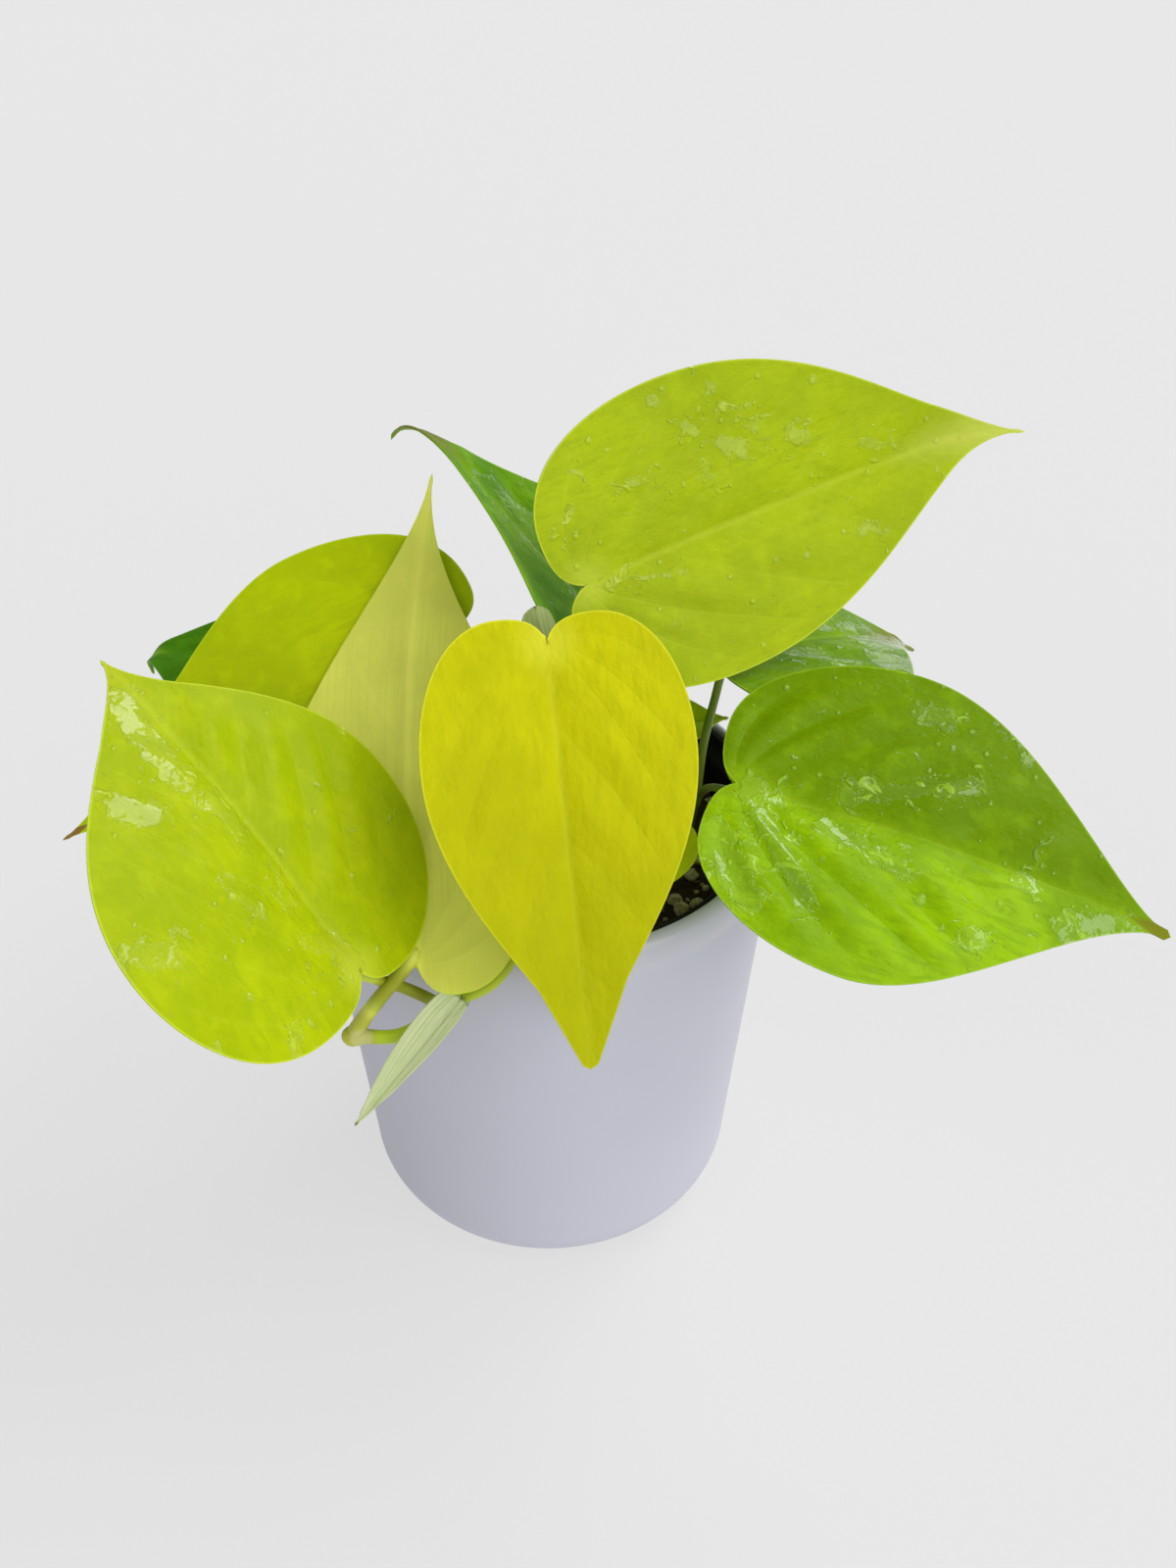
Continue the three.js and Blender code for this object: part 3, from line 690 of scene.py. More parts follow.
def stretched(where, scale):
    """A place scaled along each axis, for a texture that runs one way."""
    return node(where.id_data, "Mapping", {"Vector": where, "Scale": scale}).outputs[0]


def bumped(height, distance, strength=1.0, before=None):
    """The normal of a height, over a bump from before if there is one."""
    values = {"Height": height, "Distance": distance, "Strength": strength}
    if before is not None:
        values["Normal"] = before
    return node(height.id_data, "Bump", values).outputs[0]


def finish(name, **values):
    """A new material, its node tree and its shader, with plain values set on the shader."""
    material = bpy.data.materials.new(name)
    material.use_nodes = True
    tree = material.node_tree
    shader = tree.nodes["Principled BSDF"]
    for key, value in values.items():
        socket = shader.inputs[key.replace("_", " ").title().replace("Ior", "IOR")]
        socket.default_value = value
    return material, tree, shader


def to_shader(shader, **sockets):
    """Links sockets to the shader's inputs of those names."""
    for key, socket in sockets.items():
        shader.id_data.links.new(socket, shader.inputs[key.replace("_", " ").title()])


def object_place(tree):
    """The place on the object, in metres."""
    return node(tree, "TexCoord").outputs["Object"]


def attribute(tree, name, output="Fac"):
    """A value that the mesh keeps on its vertices."""
    return node(tree, "Attribute", attribute_name=name).outputs[output]


def highest(first, *others):
    """The highest of several values at each place."""
    for other in others:
        first = maths("MAXIMUM", first, other)
    return first


def vein_lines(tree, margin):
    """The side veins and the finer veins between them, as two masks that fade within the margin."""
    phase = attribute(tree, "vein")
    main = fade(maths("PINGPONG", phase, 0.5), 0.09, 0.0)
    fine = fade(maths("PINGPONG", maths("MULTIPLY", phase, FINE_VEINS), 0.5), 0.4, 0.0)
    open_field = fade(attribute(tree, "rim"), 0.5, margin)
    return maths("MULTIPLY", main, open_field), maths("MULTIPLY", fine, open_field)


def water_on(tree, where, amount):
    """Water on a leaf, as a height: thin pools, crooked blobs round them, and round drops."""
    flat = attribute(tree, "flat", "Vector")
    # pools, from the distance to their strokes with a ragged edge
    ragged = maths("MULTIPLY", grain(flat, 0.2, 4.0, 0.6), 9.0)
    reach = maths("ADD", attribute(tree, "pool"), maths("SUBTRACT", ragged, 4.3))
    heights = [maths("MULTIPLY", fade(reach, 0.0, -0.9), 0.4)]
    # blobs in two sizes, more of them near a pool
    near = fade(reach, 5.0, 0.0)
    for scale, start in ((0.2, 0.69), (0.42, 0.7)):
        blob = grain(stretched(flat, (1.2, 0.8, 1)), scale, 2.0, 0.5, 0.9)
        start = maths("SUBTRACT", start, maths("MULTIPLY", near, 0.14 * amount))
        heights.append(fade(maths("SUBTRACT", blob, start), 0.0, 0.14))
    # round drops in two sizes, in a share of the cells of a cell texture
    for scale, share, radius in ((200.0, 0.16, 0.3), (380.0, 0.25, 0.32)):
        cells = node(tree, "TexVoronoi", {"Vector": where, "Scale": scale})
        chance = node(tree, "SeparateColor", {"Color": cells.outputs["Color"]}).outputs[0]
        size = fade(chance, 1.0 - share * amount, 1.0, 0.0, radius)
        drop = maths("SUBTRACT", 1.0, maths("DIVIDE", cells.outputs["Distance"],
                                            maths("ADD", size, 0.001)))
        heights.append(maths("POWER", maths("MAXIMUM", drop, 0.0), 0.6))
    return highest(*heights)


def leaf_finish(name, leaf):
    """The upper face of a leaf: mottled, veined, with a pale rim line, and wet where the leaf is."""
    made, tree, shader = finish(name + "_face", coat_weight=0.0, coat_roughness=0.05, coat_ior=WATER_IOR,
                                specular_ior_level=leaf.shine, **LEAF_FLESH)
    where = object_place(tree)
    flat = attribute(tree, "flat", "Vector")
    # large soft patches, streaks across the blade, painted shade on the left half and small pale clouds
    colour = blend(fade(grain(where, 42, 5.0, 0.6), 0.36, 0.64), leaf.shade, leaf.colour)
    brush = grain(stretched(flat, (0.5, 0.12, 1)), 1.0, 4.0, 0.6, 0.6)
    colour = blend(fade(brush, 0.42, 0.68, 0.0, 0.7), colour, leaf.shade)
    # painted shade: the left half darkened, as a half turned away from the light would be
    if leaf.painted_half_shade:
        painted_shade_left_half = fade(part_of(flat, "X"), 3.0, -5.0, 0.0, leaf.painted_half_shade)
        colour = blend(painted_shade_left_half, colour, toned(leaf.shade, 0.7))
    clouds = fade(grain(where, 190, 4.0), 0.5, 0.72, 0.0, leaf.cloud)
    colour = blend(clouds, colour, toned(leaf.colour, 1.14))
    # the side veins, the midrib and the notch have the vein's colour
    main, fine = vein_lines(tree, 6.0)
    veins = highest(
        maths("MULTIPLY", main, leaf.vein_show),
        maths("MULTIPLY", fine, leaf.vein_show * 0.4),
        fade(attribute(tree, "rib"), 1.5, 0.1, 0.0, leaf.vein_show + 0.25),
        fade(attribute(tree, "seat"), 9.0, 1.0, 0.0, 0.8),
    )
    colour = blend(veins, colour, leaf.vein)
    # a pale line along the margin, and the tip's own colour
    edge = fade(attribute(tree, "rim"), 0.5, 0.15, 0.0, 0.4)
    colour = blend(edge, colour, toned(leaf.vein, 1.25, 0.03))
    tip = part_of(node(tree, "UVMap", uv_map="blade").outputs[0], "Y")
    colour = blend(fade(tip, leaf.tip_start, 0.97, 0.0, leaf.tip_show), colour, leaf.tip_colour)
    # sunk veins and a fine unevenness
    height = maths("ADD", maths("MULTIPLY", main, -1.0), maths("MULTIPLY", fine, -0.15))
    normal = bumped(height, 0.00015, 0.4)
    uneven = grain(stretched(flat, (1, 0.6, 1)), 0.4, 3.0, 0.6)
    normal = bumped(uneven, 0.0006, 0.8, normal)
    rough = spread(grain(where, 70, 3.0), leaf.gloss - 0.05, leaf.gloss + 0.08)
    if leaf.water:
        # a clear coat where the water is, with its own relief, and the leaf under it made paler as painted
        # light
        wet = water_on(tree, where, leaf.water)
        ripple = bumped(grain(flat, 0.26), 0.0006, 0.7)
        # painted light: the leaf is paler under the water, as if lit through it
        colour = blend(fade(wet, 0.4, 0.9, 0.0, 0.5), colour, toned(leaf.colour, 1.15, 0.03))
        to_shader(shader, coat_normal=bumped(wet, 0.0006, 1.0, ripple), coat_weight=fade(wet, 0.0, 0.15))
        normal = bumped(wet, 0.0005, 0.6, normal)
    to_shader(shader, base_color=colour, roughness=rough, normal=normal)
    return made


def leaf_back_finish(name, leaf):
    """The underside: paler and matte, with veins that stand out and a pale midrib."""
    made, tree, shader = finish(name + "_back", specular_ior_level=0.2, **LEAF_FLESH)
    where = object_place(tree)
    darker = toned(leaf.back, 0.84)
    colour = blend(fade(grain(where, 45, 4.0), 0.35, 0.68), darker, leaf.back)
    flat = attribute(tree, "flat", "Vector")
    lines = grain(stretched(flat, (1.4, 0.05, 1)), 1.0, 3.0)
    colour = blend(fade(lines, 0.4, 0.65, 0.0, 0.45), colour, darker)
    main, fine = vein_lines(tree, 4.0)
    veins = highest(
        maths("MULTIPLY", main, 0.14),
        maths("MULTIPLY", fine, 0.03),
        fade(attribute(tree, "rib"), 2.2, 0.4, 0.0, 0.35),
    )
    colour = blend(veins, colour, toned(leaf.back, 1.22, 0.02))
    height = maths("ADD", main, maths("MULTIPLY", fine, 0.1))
    normal = bumped(height, 0.00015, 0.3)
    normal = bumped(grain(where, 1100, 3.0), 0.00005, 0.6, normal)
    rough = spread(grain(where, 90), 0.5, 0.62)
    to_shader(shader, base_color=colour, roughness=rough, normal=normal)
    return made


def stem_finish(name, colour, gloss, marks=()):
    """A waxy stem, streaked lengthwise; each mark is a place, a radius, a colour and a strength."""
    made, tree, shader = finish(name, specular_ior_level=0.25, subsurface_weight=0.1,
                                subsurface_scale=0.002, subsurface_radius=(0.6, 1.0, 0.2))
    where = object_place(tree)
    run = node(tree, "UVMap", uv_map="UVMap").outputs[0]
    streak = grain(stretched(run, (3, 22, 1)), 1.0, 3.0)
    shown = blend(fade(streak, 0.35, 0.65), toned(colour, 0.86), colour)
    greener = (colour[0] * 0.6, colour[1] * 0.75, colour[2] * 0.4)
    shown = blend(fade(grain(where, 60, 3.0), 0.45, 0.62, 0.0, 0.6), shown, greener)
    patch = fade(grain(where, 110, 3.0), 0.58, 0.75, 0.0, 0.3)
    shown = blend(patch, shown, (colour[0] * 0.9 + 0.04, colour[1] * 0.72, colour[2] + 0.01))
    for place, radius, tone, strength in marks:
        reach = node(tree, "VectorMath", {0: where, 1: Vector(place) * MM}, operation="DISTANCE")
        mark = fade(reach.outputs["Value"], radius * MM, 0.6 * radius * MM, 0.0, strength)
        shown = blend(mark, shown, tone)
    normal = bumped(streak, 0.0002, 0.5)
    normal = bumped(grain(where, 900), 0.00005, 0.5, normal)
    rough = spread(grain(where, 150), gloss, gloss + 0.12)
    to_shader(shader, base_color=shown, roughness=rough, normal=normal)
    return made


def sheath_finish(name, colour, streak_colour):
    """A papery sheath with fine parallel lines, brown at its dry tip."""
    made, tree, shader = finish(name, subsurface_weight=0.15, subsurface_scale=0.001,
                                subsurface_radius=(0.8, 1.0, 0.4))
    where = object_place(tree)
    blade = node(tree, "UVMap", uv_map="blade").outputs[0]
    lines = grain(stretched(blade, (26, 1.2, 1)), 1.0, 3.0)
    shown = blend(fade(lines, 0.35, 0.65), streak_colour, colour)
    patch = fade(grain(where, 260, 3.0), 0.55, 0.75, 0.0, 0.4)
    shown = blend(patch, shown, streak_colour)
    tip = part_of(blade, "Y")
    shown = blend(fade(tip, 0.97, 0.995, 0.0, 0.8), shown, (0.12, 0.07, 0.03))
    normal = bumped(lines, 0.00025, 0.4)
    rough = spread(grain(where, 300), 0.4, 0.58)
    to_shader(shader, base_color=shown, roughness=rough, normal=normal)
    return made


def glaze_finish(colour):
    """A white glaze, its colour greyed as painted shade, very slightly uneven, with a few pinholes,
    thickest and glossiest on the rim.
    """
    made, tree, shader = finish("pot_glaze", coat_roughness=0.1, specular_ior_level=0.05)
    where = object_place(tree)
    shown = blend(spread(grain(where, 14, 3.0)), toned(colour, 0.97), tuple(colour))
    speck = fade(grain(where, 900, 1.0), 0.76, 0.8, 0.0, 0.25)
    shown = blend(speck, shown, (0.6, 0.59, 0.57))
    normal = bumped(grain(where, 16), 0.0006, 0.06)
    normal = bumped(grain(where, 420, 1.0), 0.00003, 0.08, normal)
    rough = spread(grain(where, 60), 0.38, 0.44)
    height = part_of(where, "Z")
    thick = fade(height, 0.109, 0.115, 0.0, 1.0)
    to_shader(shader, base_color=shown, roughness=rough, normal=normal, coat_weight=thick)
    return made


def clay_finish():
    """The unglazed ring that the pot stands on."""
    made, tree, shader = finish("bare_clay")
    where = object_place(tree)
    sandy = spread(grain(where, 500, 3.0))
    shown = blend(sandy, (0.62, 0.58, 0.52), (0.74, 0.71, 0.66))
    normal = bumped(grain(where, 1600), 0.00008, 0.6)
    rough = spread(grain(where, 800), 0.8, 0.95)
    to_shader(shader, base_color=shown, roughness=rough, normal=normal)
    return made


def plastic_finish(colour):
    """Satin black moulded plastic with scuffs and a little dust."""
    made, tree, shader = finish("nursery_plastic", specular_ior_level=0.12)
    where = object_place(tree)
    dust = fade(grain(where, 130, 5.0, 0.7), 0.52, 0.8, 0.0, 0.3)
    shown = blend(dust, tuple(colour), (0.075, 0.07, 0.062))
    scuff = grain(stretched(where, (40, 40, 900)), 1.0, 4.0)
    normal = bumped(scuff, 0.00006, 0.5)
    normal = bumped(grain(where, 1500, 1.0), 0.00003, 0.4, normal)
    rough = spread(scuff, 0.26, 0.42)
    to_shader(shader, base_color=shown, roughness=rough, normal=normal)
    return made


def mix_finish():
    """Dark damp potting mix."""
    made, tree, shader = finish("potting_mix", specular_ior_level=0.3)
    where = object_place(tree)
    fine = grain(where, 700, 6.0, 0.7)
    shown = blend(fade(fine, 0.32, 0.62), (0.008, 0.005, 0.003), (0.055, 0.032, 0.018))
    fibre = fade(grain(where, 260, 4.0, 0.6, 1.0), 0.6, 0.7, 0.0, 0.7)
    shown = blend(fibre, shown, (0.13, 0.075, 0.035))
    normal = bumped(fine, 0.0006, 0.9)
    rough = spread(fine, 0.7, 0.95)
    to_shader(shader, base_color=shown, roughness=rough, normal=normal)
    return made


def lump_finish(name, dark, pale, size):
    """Perlite or bark: speckled and rough."""
    made, tree, shader = finish(name, specular_ior_level=0.35)
    where = object_place(tree)
    fine = grain(where, size, 5.0, 0.65)
    shown = blend(fade(fine, 0.35, 0.65), dark, pale)
    # painted shade: dark spots where pores in the lumps would lie in shadow
    painted_pore_shade = fade(grain(where, size * 0.6, 1.0), 0.34, 0.26)
    shown = blend(painted_pore_shade, shown, toned(dark, 0.15))
    normal = bumped(fine, 0.0004, 0.8)
    rough = spread(fine, 0.65, 0.9)
    to_shader(shader, base_color=shown, roughness=rough, normal=normal)
    return made


# Operators


class MakeCoverPot(bpy.types.Operator):
    """The white cover pot: a smooth turned wall with a rounded rim and foot"""

    bl_idname = "philodendron.cover_pot"
    bl_label = "Cover Pot"

    def execute(self, context):
        sizes = context.scene.pot_settings
        height, radius, foot = sizes.height / MM, sizes.radius / MM, sizes.foot_radius / MM
        rounding, wall = sizes.foot_round / MM, sizes.wall / MM
        lip, edge, roll = 7, 0.6, 1.1  # height of the curved lip, its inner rounding, and its thickening
        inner = rounding - wall + 1
        shoulder = radius - lip * (radius - foot) / (height - rounding)
        crown = radius - wall - roll + edge
        ring = foot - rounding
        # foot ring, rounded lower edge, wall, lip, rim, and down inside to the floor
        profile = [
            (0, 0.35), (ring - 3.4, 0.35), (ring - 3, 0.08), (ring - 2.6, 0), (ring - 1, 0),
            *arc(ring, rounding, rounding, -90, 0, 16),
            *[(foot + (shoulder - foot) * k / 8, rounding + (height - lip - rounding) * k / 8)
              for k in range(1, 8)],
            *[(crown + (shoulder - crown) * math.cos(math.radians(9 * k)),
               height - lip + lip * math.sin(math.radians(9 * k))) for k in range(10)],
            *arc(crown, height - edge, edge, 90, 180, 6),
            (crown - edge + 0.1, height - 3), (crown - edge + roll, height - 8),
            *arc(foot - wall - inner, wall + inner, inner, 0, -90, 12),
            (0, wall),
        ]
        bm = turned(in_metres(profile), sizes.steps)
        for face in bm.faces:
            if all(vert.co.z < 0.00005 for vert in face.verts):
                face.material_index = 1
        finishes = [glaze_finish(sizes.glaze), clay_finish()]
        piece("cover_pot_glazed", bm, finishes, "cover_pot")
        return {"FINISHED"}


HOLES, HOLE_RING, HOLE_RADIUS = 6, 0.02, 0.003  # drainage holes of the nursery pot, in metres


class MakeNurseryPot(bpy.types.Operator):
    """The black nursery pot: thin wall, stepped rim band and drainage holes"""

    bl_idname = "philodendron.nursery_pot"
    bl_label = "Nursery Pot"

    def execute(self, context):
        sizes = context.scene.pot_settings
        # radius and height of each corner: under the floor, up the wall, round the rim band, down inside
        profile = [
            (0, 4.5), (30, 4.5), (31, 4.8), (33.4, 7.4), (34, 8.5), (41.8, 60), (49.6, 112.6),
            (49.9, 113), (51.3, 113), (51.6, 113.3), (52.2, 118.3), (52.1, 118.8), (51.8, 119),
            (51.2, 119), (50.9, 118.8), (50.7, 118.3), (50.1, 114.4), (48.7, 113.9), (48.4, 112.8),
            (40.7, 60), (32.8, 9), (32.3, 8.1), (30, 6), (29.3, 5.7), (0, 5.7),
        ]
        bm = turned(in_metres(profile), sizes.steps)
        pot = piece("nursery_pot_moulded", bm, [plastic_finish(sizes.plastic)],
                    "nursery_pot")
        cutter = bmesh.new()
        for k in range(HOLES):
            turn = 2 * math.pi * k / HOLES
            spot = Matrix.Translation((HOLE_RING * math.cos(turn), HOLE_RING * math.sin(turn), 0.005))
            bmesh.ops.create_cone(cutter, cap_ends=True, segments=32, radius1=HOLE_RADIUS,
                                  radius2=HOLE_RADIUS, depth=0.004, matrix=spot)
        holes = to_object("holes", cutter)
        cut = pot.modifiers.new("Holes", "BOOLEAN")
        cut.object, cut.operation, cut.solver = holes, "DIFFERENCE", "EXACT"
        cut_mesh = bpy.data.meshes.new_from_object(pot.evaluated_get(context.evaluated_depsgraph_get()))
        pot.modifiers.clear()
        pot.data = cut_mesh
        bpy.data.objects.remove(holes)
        return {"FINISHED"}


PERLITE, BARK = 1, 2  # their places in the potting mix's list of materials
# Perlite lumps that are in plain sight: x, y and radius in millimetres
SEEN_LUMPS = (
    (31.1, -22.3, 1.9), (32.5, -26.2, 2.1), (36.1, -24.2, 1.9), (34.1, -21.6, 0.6), (36.4, -18.8, 0.7),
    (37.9, -17, 0.5), (28.5, -29.2, 0.7), (37, -8, 1.5), (42, 15, 1.2), (41, 21, 0.9),
)


class MakePottingMix(bpy.types.Operator):
    """The potting mix: an uneven crumbly top with perlite lumps and bark chips"""

    bl_idname = "philodendron.potting_mix"
    bl_label = "Potting Mix"

    def execute(self, context):
        sizes = context.scene.plant_settings
        edge, rings = sizes.soil_radius / MM, 44
        profile = [(0, 6.2), (28, 6.2), (31.9, 10.5), (edge, SOIL_TOP - 0.8)]
        profile += [(edge * (1 - k / rings), SOIL_TOP) for k in range(1, rings + 1)]
        bm = turned(in_metres(profile), sizes.id_data.pot_settings.steps)
        for vert in bm.verts:
            x, y, z = vert.co / MM
            if z > SOIL_TOP - 0.5:
                vert.co.z += self.height(x, y) * MM
        rand = random.Random(5)
        lumps = list(SEEN_LUMPS)
        for k in range(sizes.crumbs):
            lumps.append((*self.anywhere(rand, 44), rand.uniform(0.6, 1.9)))
        for x, y, size in lumps:
            self.lump(bm, x, y, size, rand)
        for k in range(sizes.chips):
            self.chip(bm, *self.anywhere(rand, 45), rand)
        finishes = [
            mix_finish(),
            lump_finish("perlite", (0.42, 0.33, 0.18), (0.85, 0.76, 0.56), 900),
            lump_finish("bark", (0.05, 0.028, 0.014), (0.15, 0.085, 0.04), 700),
        ]
        piece("potting_mix_top", bm, finishes, "soil")
        return {"FINISHED"}

    def anywhere(self, rand, reach):
        """A place within reach of the middle, in millimetres."""
        angle, distance = rand.uniform(0, 2 * math.pi), reach * math.sqrt(rand.random())
        return distance * math.cos(angle), distance * math.sin(angle)

    def height(self, x, y):
        """Height of the top over its level, in millimetres."""
        broad = 0.6 * math.sin(x / 4.1) * math.cos(y / 5.3) + 0.3 * math.sin((x + y) / 2.7)
        crumbs = noise.fractal(Vector((x / 2.2, y / 2.2, 3)), 0.6, 2.1, 4)
        return broad + 0.55 * crumbs

    def lump(self, bm, x, y, size, rand):
        """A lump of perlite, knobbly and a little sunk into the mix."""
        z = SOIL_TOP + self.height(x, y) + 0.25 * size
        tilt = Matrix.Rotation(rand.uniform(0, 6.3), 4, "X")
        turn = tilt @ Matrix.Rotation(rand.uniform(0, 6.3), 4, "Z")
        made = bmesh.ops.create_icosphere(bm, subdivisions=2 if size > 1.4 else 1, radius=size * MM)
        seed = rand.uniform(0, 50)
        for vert in made["verts"]:
            out = vert.co.normalized()
            vert.co *= 1 + 0.3 * noise.noise(out * 1.6 + Vector((seed, 0, 0)))
            vert.co = turn @ vert.co
            vert.co.z *= 0.85
            vert.co += Vector((x, y, z)) * MM
            for face in vert.link_faces:
                face.material_index = PERLITE
                face.smooth = True

    def chip(self, bm, x, y, rand):
        """A split chip of bark, nearly flat on the mix."""
        long, wide, deep = rand.uniform(1.2, 4.5), rand.uniform(0.6, 1.6), rand.uniform(0.3, 0.8)
        centre = Vector((x, y, SOIL_TOP + self.height(x, y) + 0.2)) * MM
        turn = Matrix.Rotation(rand.uniform(0, 6.3), 4, "Z")
        turn = turn @ Matrix.Rotation(rand.uniform(-0.4, 0.4), 4, "Y")
        form = Matrix.Diagonal((long * MM, wide * MM, deep * MM, 1))
        made = bmesh.ops.create_cube(bm, size=1, matrix=Matrix.Translation(centre) @ turn @ form)
        for vert in made["verts"]:
            vert.co = centre + (vert.co - centre) * rand.uniform(0.65, 1.1)
            for face in vert.link_faces:
                face.material_index = BARK


# Patches of another colour on the lime stems, one of them painted shade: place and radius in millimetres,
# colour and strength
STEM_MARKS = (
    ((-11, -60, 117), 14, (0.42, 0.52, 0.02), 0.85),  # greener over the rim
    ((-31, -57, 113), 9, (0.3, 0.32, 0.01), 0.85),  # painted shade under the left leaf
    ((-42, -60, 102), 10, (0.42, 0.4, 0.03), 0.6),  # brownish round the second node
    ((-31, -61, 102), 7.5, (0.58, 0.76, 0.03), 0.85),  # bright between the two nodes
    ((-39.6, -61.6, 101.6), 3.2, (0.62, 0.62, 0.24), 0.8),  # the cream scar at the second node
)


class MakeStems(bpy.types.Operator):
    """The five vines, with their nodes and petioles"""

    bl_idname = "philodendron.stems"
    bl_label = "Stems"

    def execute(self, context):
        sizes = context.scene.plant_settings
        lime = stem_finish("stem_lime", tuple(sizes.stem), 0.36, STEM_MARKS)
        dark = stem_finish("stem_dark", tuple(sizes.stem_dark), 0.32)
        for name, build, skin in (
            ("front_vine", self.front, lime), ("centre_vine", self.centre, lime),
            ("right_vine", self.right, dark), ("back_vine", self.back, lime),
            ("far_vine", self.far, dark),
        ):
            bm = bmesh.new()
            build(bm)
            weld(bm)
            smooth(bm)
            piece(name + "_stems", bm, [skin], name)
        return {"FINISHED"}

    def front(self, bm):
        first, tip = (-22, -59, 109.5), (-42, -60, 100.6)
        nodes = [(first, 0.6), (tip, 0.8)]
        add_stem(bm, standing((-2, -30, SOIL_TOP), (-2.5, -41, 120), (-4, -49, 123.5), (-6.5, -57.5, 121.2),
                              (-10, -60.2, 117.5), (-16, -60, 113), first), 1.45, swellings=nodes)
        add_stem(bm, [first, (-26.5, -60.3, 104.5), (-32, -61, 101.6), tip], 1.6, swellings=nodes)
        add_stem(bm, [tip, (-38.8, -60, 106.4), (-35, -60.4, 112.8),
                      *petiole_end("leaf_pale_upright", 1.3)], 1.9, 1.5)
        add_stem(bm, [first, (-29, -56, 111), (-35, -59, 117), *petiole_end("leaf_left", 1.1)], 1.4, 1.2)

    def centre(self, bm):
        low, tip = (-1, -4, 132), (2, -17, 168)
        nodes = [(low, 0.6), (tip, 0.5)]
        add_stem(bm, standing((-1, 0, SOIL_TOP), (-1, -2, 120), low, (0, -8, 150), tip), 2.05, 1.9,
                 swellings=nodes)
        add_stem(bm, [tip, (2.5, -19.5, 171), (2.5, -21.4, 174.5)], 1.5, 0.9)
        add_stem(bm, [low, (2, -20, 148), (3, -28, 170), *petiole_end("leaf_centre", 1.3)], 1.3, 1.0)
        add_stem(bm, [tip, (5.2, -17.3, 171.2), (6.9, -13.6, 172.9), (8.2, -10.5, 173.2), (10, -6.5, 176),
                      *petiole_end("leaf_upper_right", 1.1)], 1.1, 0.95)
        add_stem(bm, [(-1, -2, 120), (10, -8, 120), (21, -13, 121), *petiole_end("leaf_small_right", 0.9)],
                 0.9, 0.7)

    def right(self, bm):
        low = (37, 4, 118)
        add_stem(bm, standing((36, 6, SOIL_TOP), low, (38, 3, 134), (40, 2, 148),
                              *petiole_end("leaf_right_back", 1.1)), 1.15, 1.0, swellings=[(low, 0.55)])
        add_stem(bm, [low, (39, -8, 130), (42, -24, 142), *petiole_end("leaf_right", 1.1)], 1.0, 0.8)

    def back(self, bm):
        low = (-18, 20, 118)
        add_stem(bm, standing((-16, 20, SOIL_TOP), low, (-20, 18, 134)), 2.05, 1.8, swellings=[(low, 0.5)])
        add_stem(bm, [(-20, 18, 134), (-20, 16, 148), *petiole_end("leaf_left_back", 1.3)], 1.35, 1.0)
        add_stem(bm, [low, (-26, 17, 127), *petiole_end("leaf_far_left", 1.3)], 1.3, 1.0)

    def far(self, bm):
        low = (16, 25, 117)
        add_stem(bm, standing((14, 24, SOIL_TOP), low, (20, 27, 130)), 2.05, 1.8, swellings=[(low, 0.5)])
        add_stem(bm, [(20, 27, 130), (26, 25, 138), *petiole_end("leaf_upper_back", 1.3)], 1.35, 1.0)
        add_stem(bm, [low, (18, 16, 127), *petiole_end("leaf_small_back", 0.9)], 0.9, 0.7)


SMALL_LEAF = 40  # a shorter leaf needs fewer faces


class MakeLeaves(bpy.types.Operator):
    """The eleven leaf blades, each with its midrib, veins and waved margin"""

    bl_idname = "philodendron.leaves"
    bl_label = "Leaves"

    def execute(self, context):
        sizes = context.scene.plant_settings
        for seed, (name, leaf) in enumerate(LEAVES.items(), 1):
            rows, columns = (44, 24) if leaf.length < SMALL_LEAF else (sizes.rows, sizes.columns)
            bm = blade_mesh(leaf, seed, rows, columns, sizes.blade, relief)
            finishes = [leaf_finish(name, leaf), leaf_back_finish(name, leaf)]
            piece(name + "_blade", bm, finishes, name)
        return {"FINISHED"}


SHEATH_THICKNESS = 0.0004
FIRST_SHEATH_SEED = 20


class MakeSheaths(bpy.types.Operator):
    """The two papery sheaths"""

    bl_idname = "philodendron.sheaths"
    bl_label = "Sheaths"

    def execute(self, context):
        for seed, (name, leaf) in enumerate(SHEATHS.items(), FIRST_SHEATH_SEED):
            bm = blade_mesh(leaf, seed, 60, 28, SHEATH_THICKNESS, sheath_relief)
            skin = sheath_finish(name + "_skin", leaf.colour, leaf.shade)
            piece(name + "_dry", bm, [skin, skin], name)
        return {"FINISHED"}


# Round windows of light: the way towards each, its radius and soft edge in degrees, and its strength
WINDOWS = (
    ((0.52, -0.17, 0.84), 15, 3, 4.4),
    ((0.6, 0.16, 0.79), 12, 2.5, 4.6),
    ((0.48, 0.48, 0.73), 12, 2.5, 6.4),
    ((0.43, 0.88, 0.2), 13, 5, 1.6),
    ((0.55, -0.75, 0.36), 42, 30, 2),
    ((-0.6, -0.5, 0.6), 28, 20, 1.2),
)


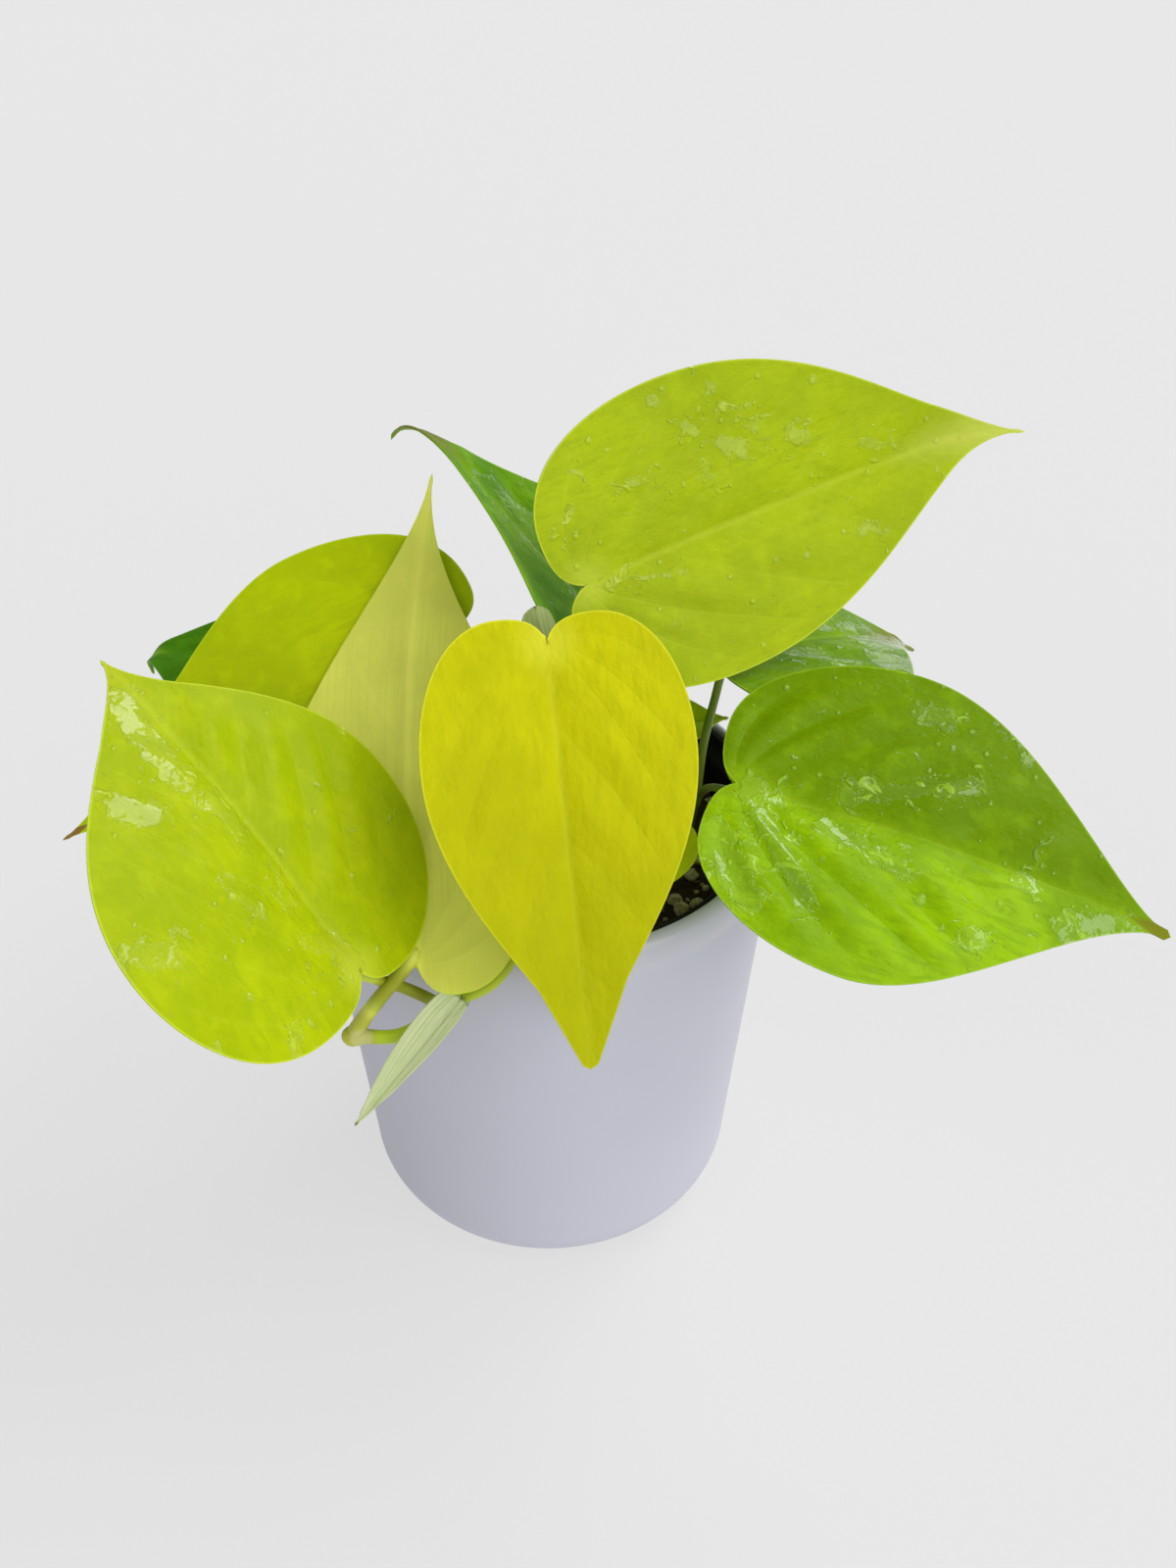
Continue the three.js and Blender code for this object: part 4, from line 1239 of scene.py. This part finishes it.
class MakeStage(bpy.types.Operator):
    """The pale floor, soft light and camera"""

    bl_idname = "philodendron.stage"
    bl_label = "Stage"

    def execute(self, context):
        scene, stage = context.scene, context.scene.stage_settings
        bm = bmesh.new()
        bmesh.ops.create_grid(bm, x_segments=4, y_segments=4, size=6)
        made, tree, shader = finish("floor_paper", roughness=0.9, specular_ior_level=0.1,
                                    emission_color=(1, 1, 1, 1), emission_strength=stage.glow)
        tone = tuple(stage.floor)
        shown = blend(grain(object_place(tree), 3.0), toned(tone, 0.99), tone)
        to_shader(shader, base_color=shown)
        floor = to_object("floor", bm, [made])
        world = bpy.data.worlds.new("studio")
        world.use_nodes = True
        tree = world.node_tree
        facing = node(tree, "TexCoord").outputs["Generated"]
        power = fade(part_of(facing, "Z"), -0.1, 0.9, stage.horizon, stage.sky)
        power = maths("MULTIPLY", power, fade(part_of(facing, "X"), -0.9, 0.9, 0.6, 1.4))
        for towards, radius, soft, strength in WINDOWS:
            turn = node(tree, "VectorMath", {0: facing, 1: Vector(towards).normalized()},
                        operation="DOT_PRODUCT").outputs["Value"]
            edge = math.cos(math.radians(radius))
            inside = math.cos(math.radians(radius - soft))
            power = maths("MAXIMUM", power, fade(turn, edge, inside, 0.0, strength))
        tree.nodes["Background"].inputs["Color"].default_value = (1, 1, 1, 1)
        tree.links.new(power, tree.nodes["Background"].inputs["Strength"])
        scene.world = world
        data = bpy.data.cameras.new("view")
        data.lens, data.sensor_width = stage.lens, 36
        camera = linked("view", data)
        camera.location = stage.eye
        camera.rotation_euler = (stage.tilt, 0, 0)
        scene.camera = camera
        scene.view_settings.view_transform = "Standard"
        return {"FINISHED"}


class PhilodendronPanel(bpy.types.Panel):
    """Lists the pieces and the sizes and colours that they are made from"""

    bl_idname = "VIEW3D_PT_philodendron"
    bl_label = "Philodendron"
    bl_space_type = "VIEW_3D"
    bl_region_type = "UI"
    bl_category = "Philodendron"

    def draw(self, context):
        for maker in MAKERS:
            self.layout.operator(maker.bl_idname)
        for key in SETTINGS:
            settings = getattr(context.scene, key)
            for name in settings.__annotations__:
                self.layout.prop(settings, name)


MAKERS = (MakeStage, MakeCoverPot, MakeNurseryPot, MakePottingMix, MakeStems, MakeLeaves, MakeSheaths)
SETTINGS = {"pot_settings": PotSettings, "plant_settings": PlantSettings, "stage_settings": StageSettings}
CLASSES = (*SETTINGS.values(), *MAKERS, PhilodendronPanel)


def register():
    for cls in CLASSES:
        bpy.utils.register_class(cls)
    for key, group in SETTINGS.items():
        setattr(bpy.types.Scene, key, PointerProperty(type=group))


def unregister():
    for key in SETTINGS:
        delattr(bpy.types.Scene, key)
    for cls in reversed(CLASSES):
        bpy.utils.unregister_class(cls)


def main():
    register()
    bpy.ops.philodendron.stage()
    bpy.ops.philodendron.cover_pot()
    bpy.ops.philodendron.nursery_pot()
    bpy.ops.philodendron.potting_mix()
    bpy.ops.philodendron.stems()
    bpy.ops.philodendron.leaves()
    bpy.ops.philodendron.sheaths()
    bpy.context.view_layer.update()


if __name__ == "__main__":
    main()
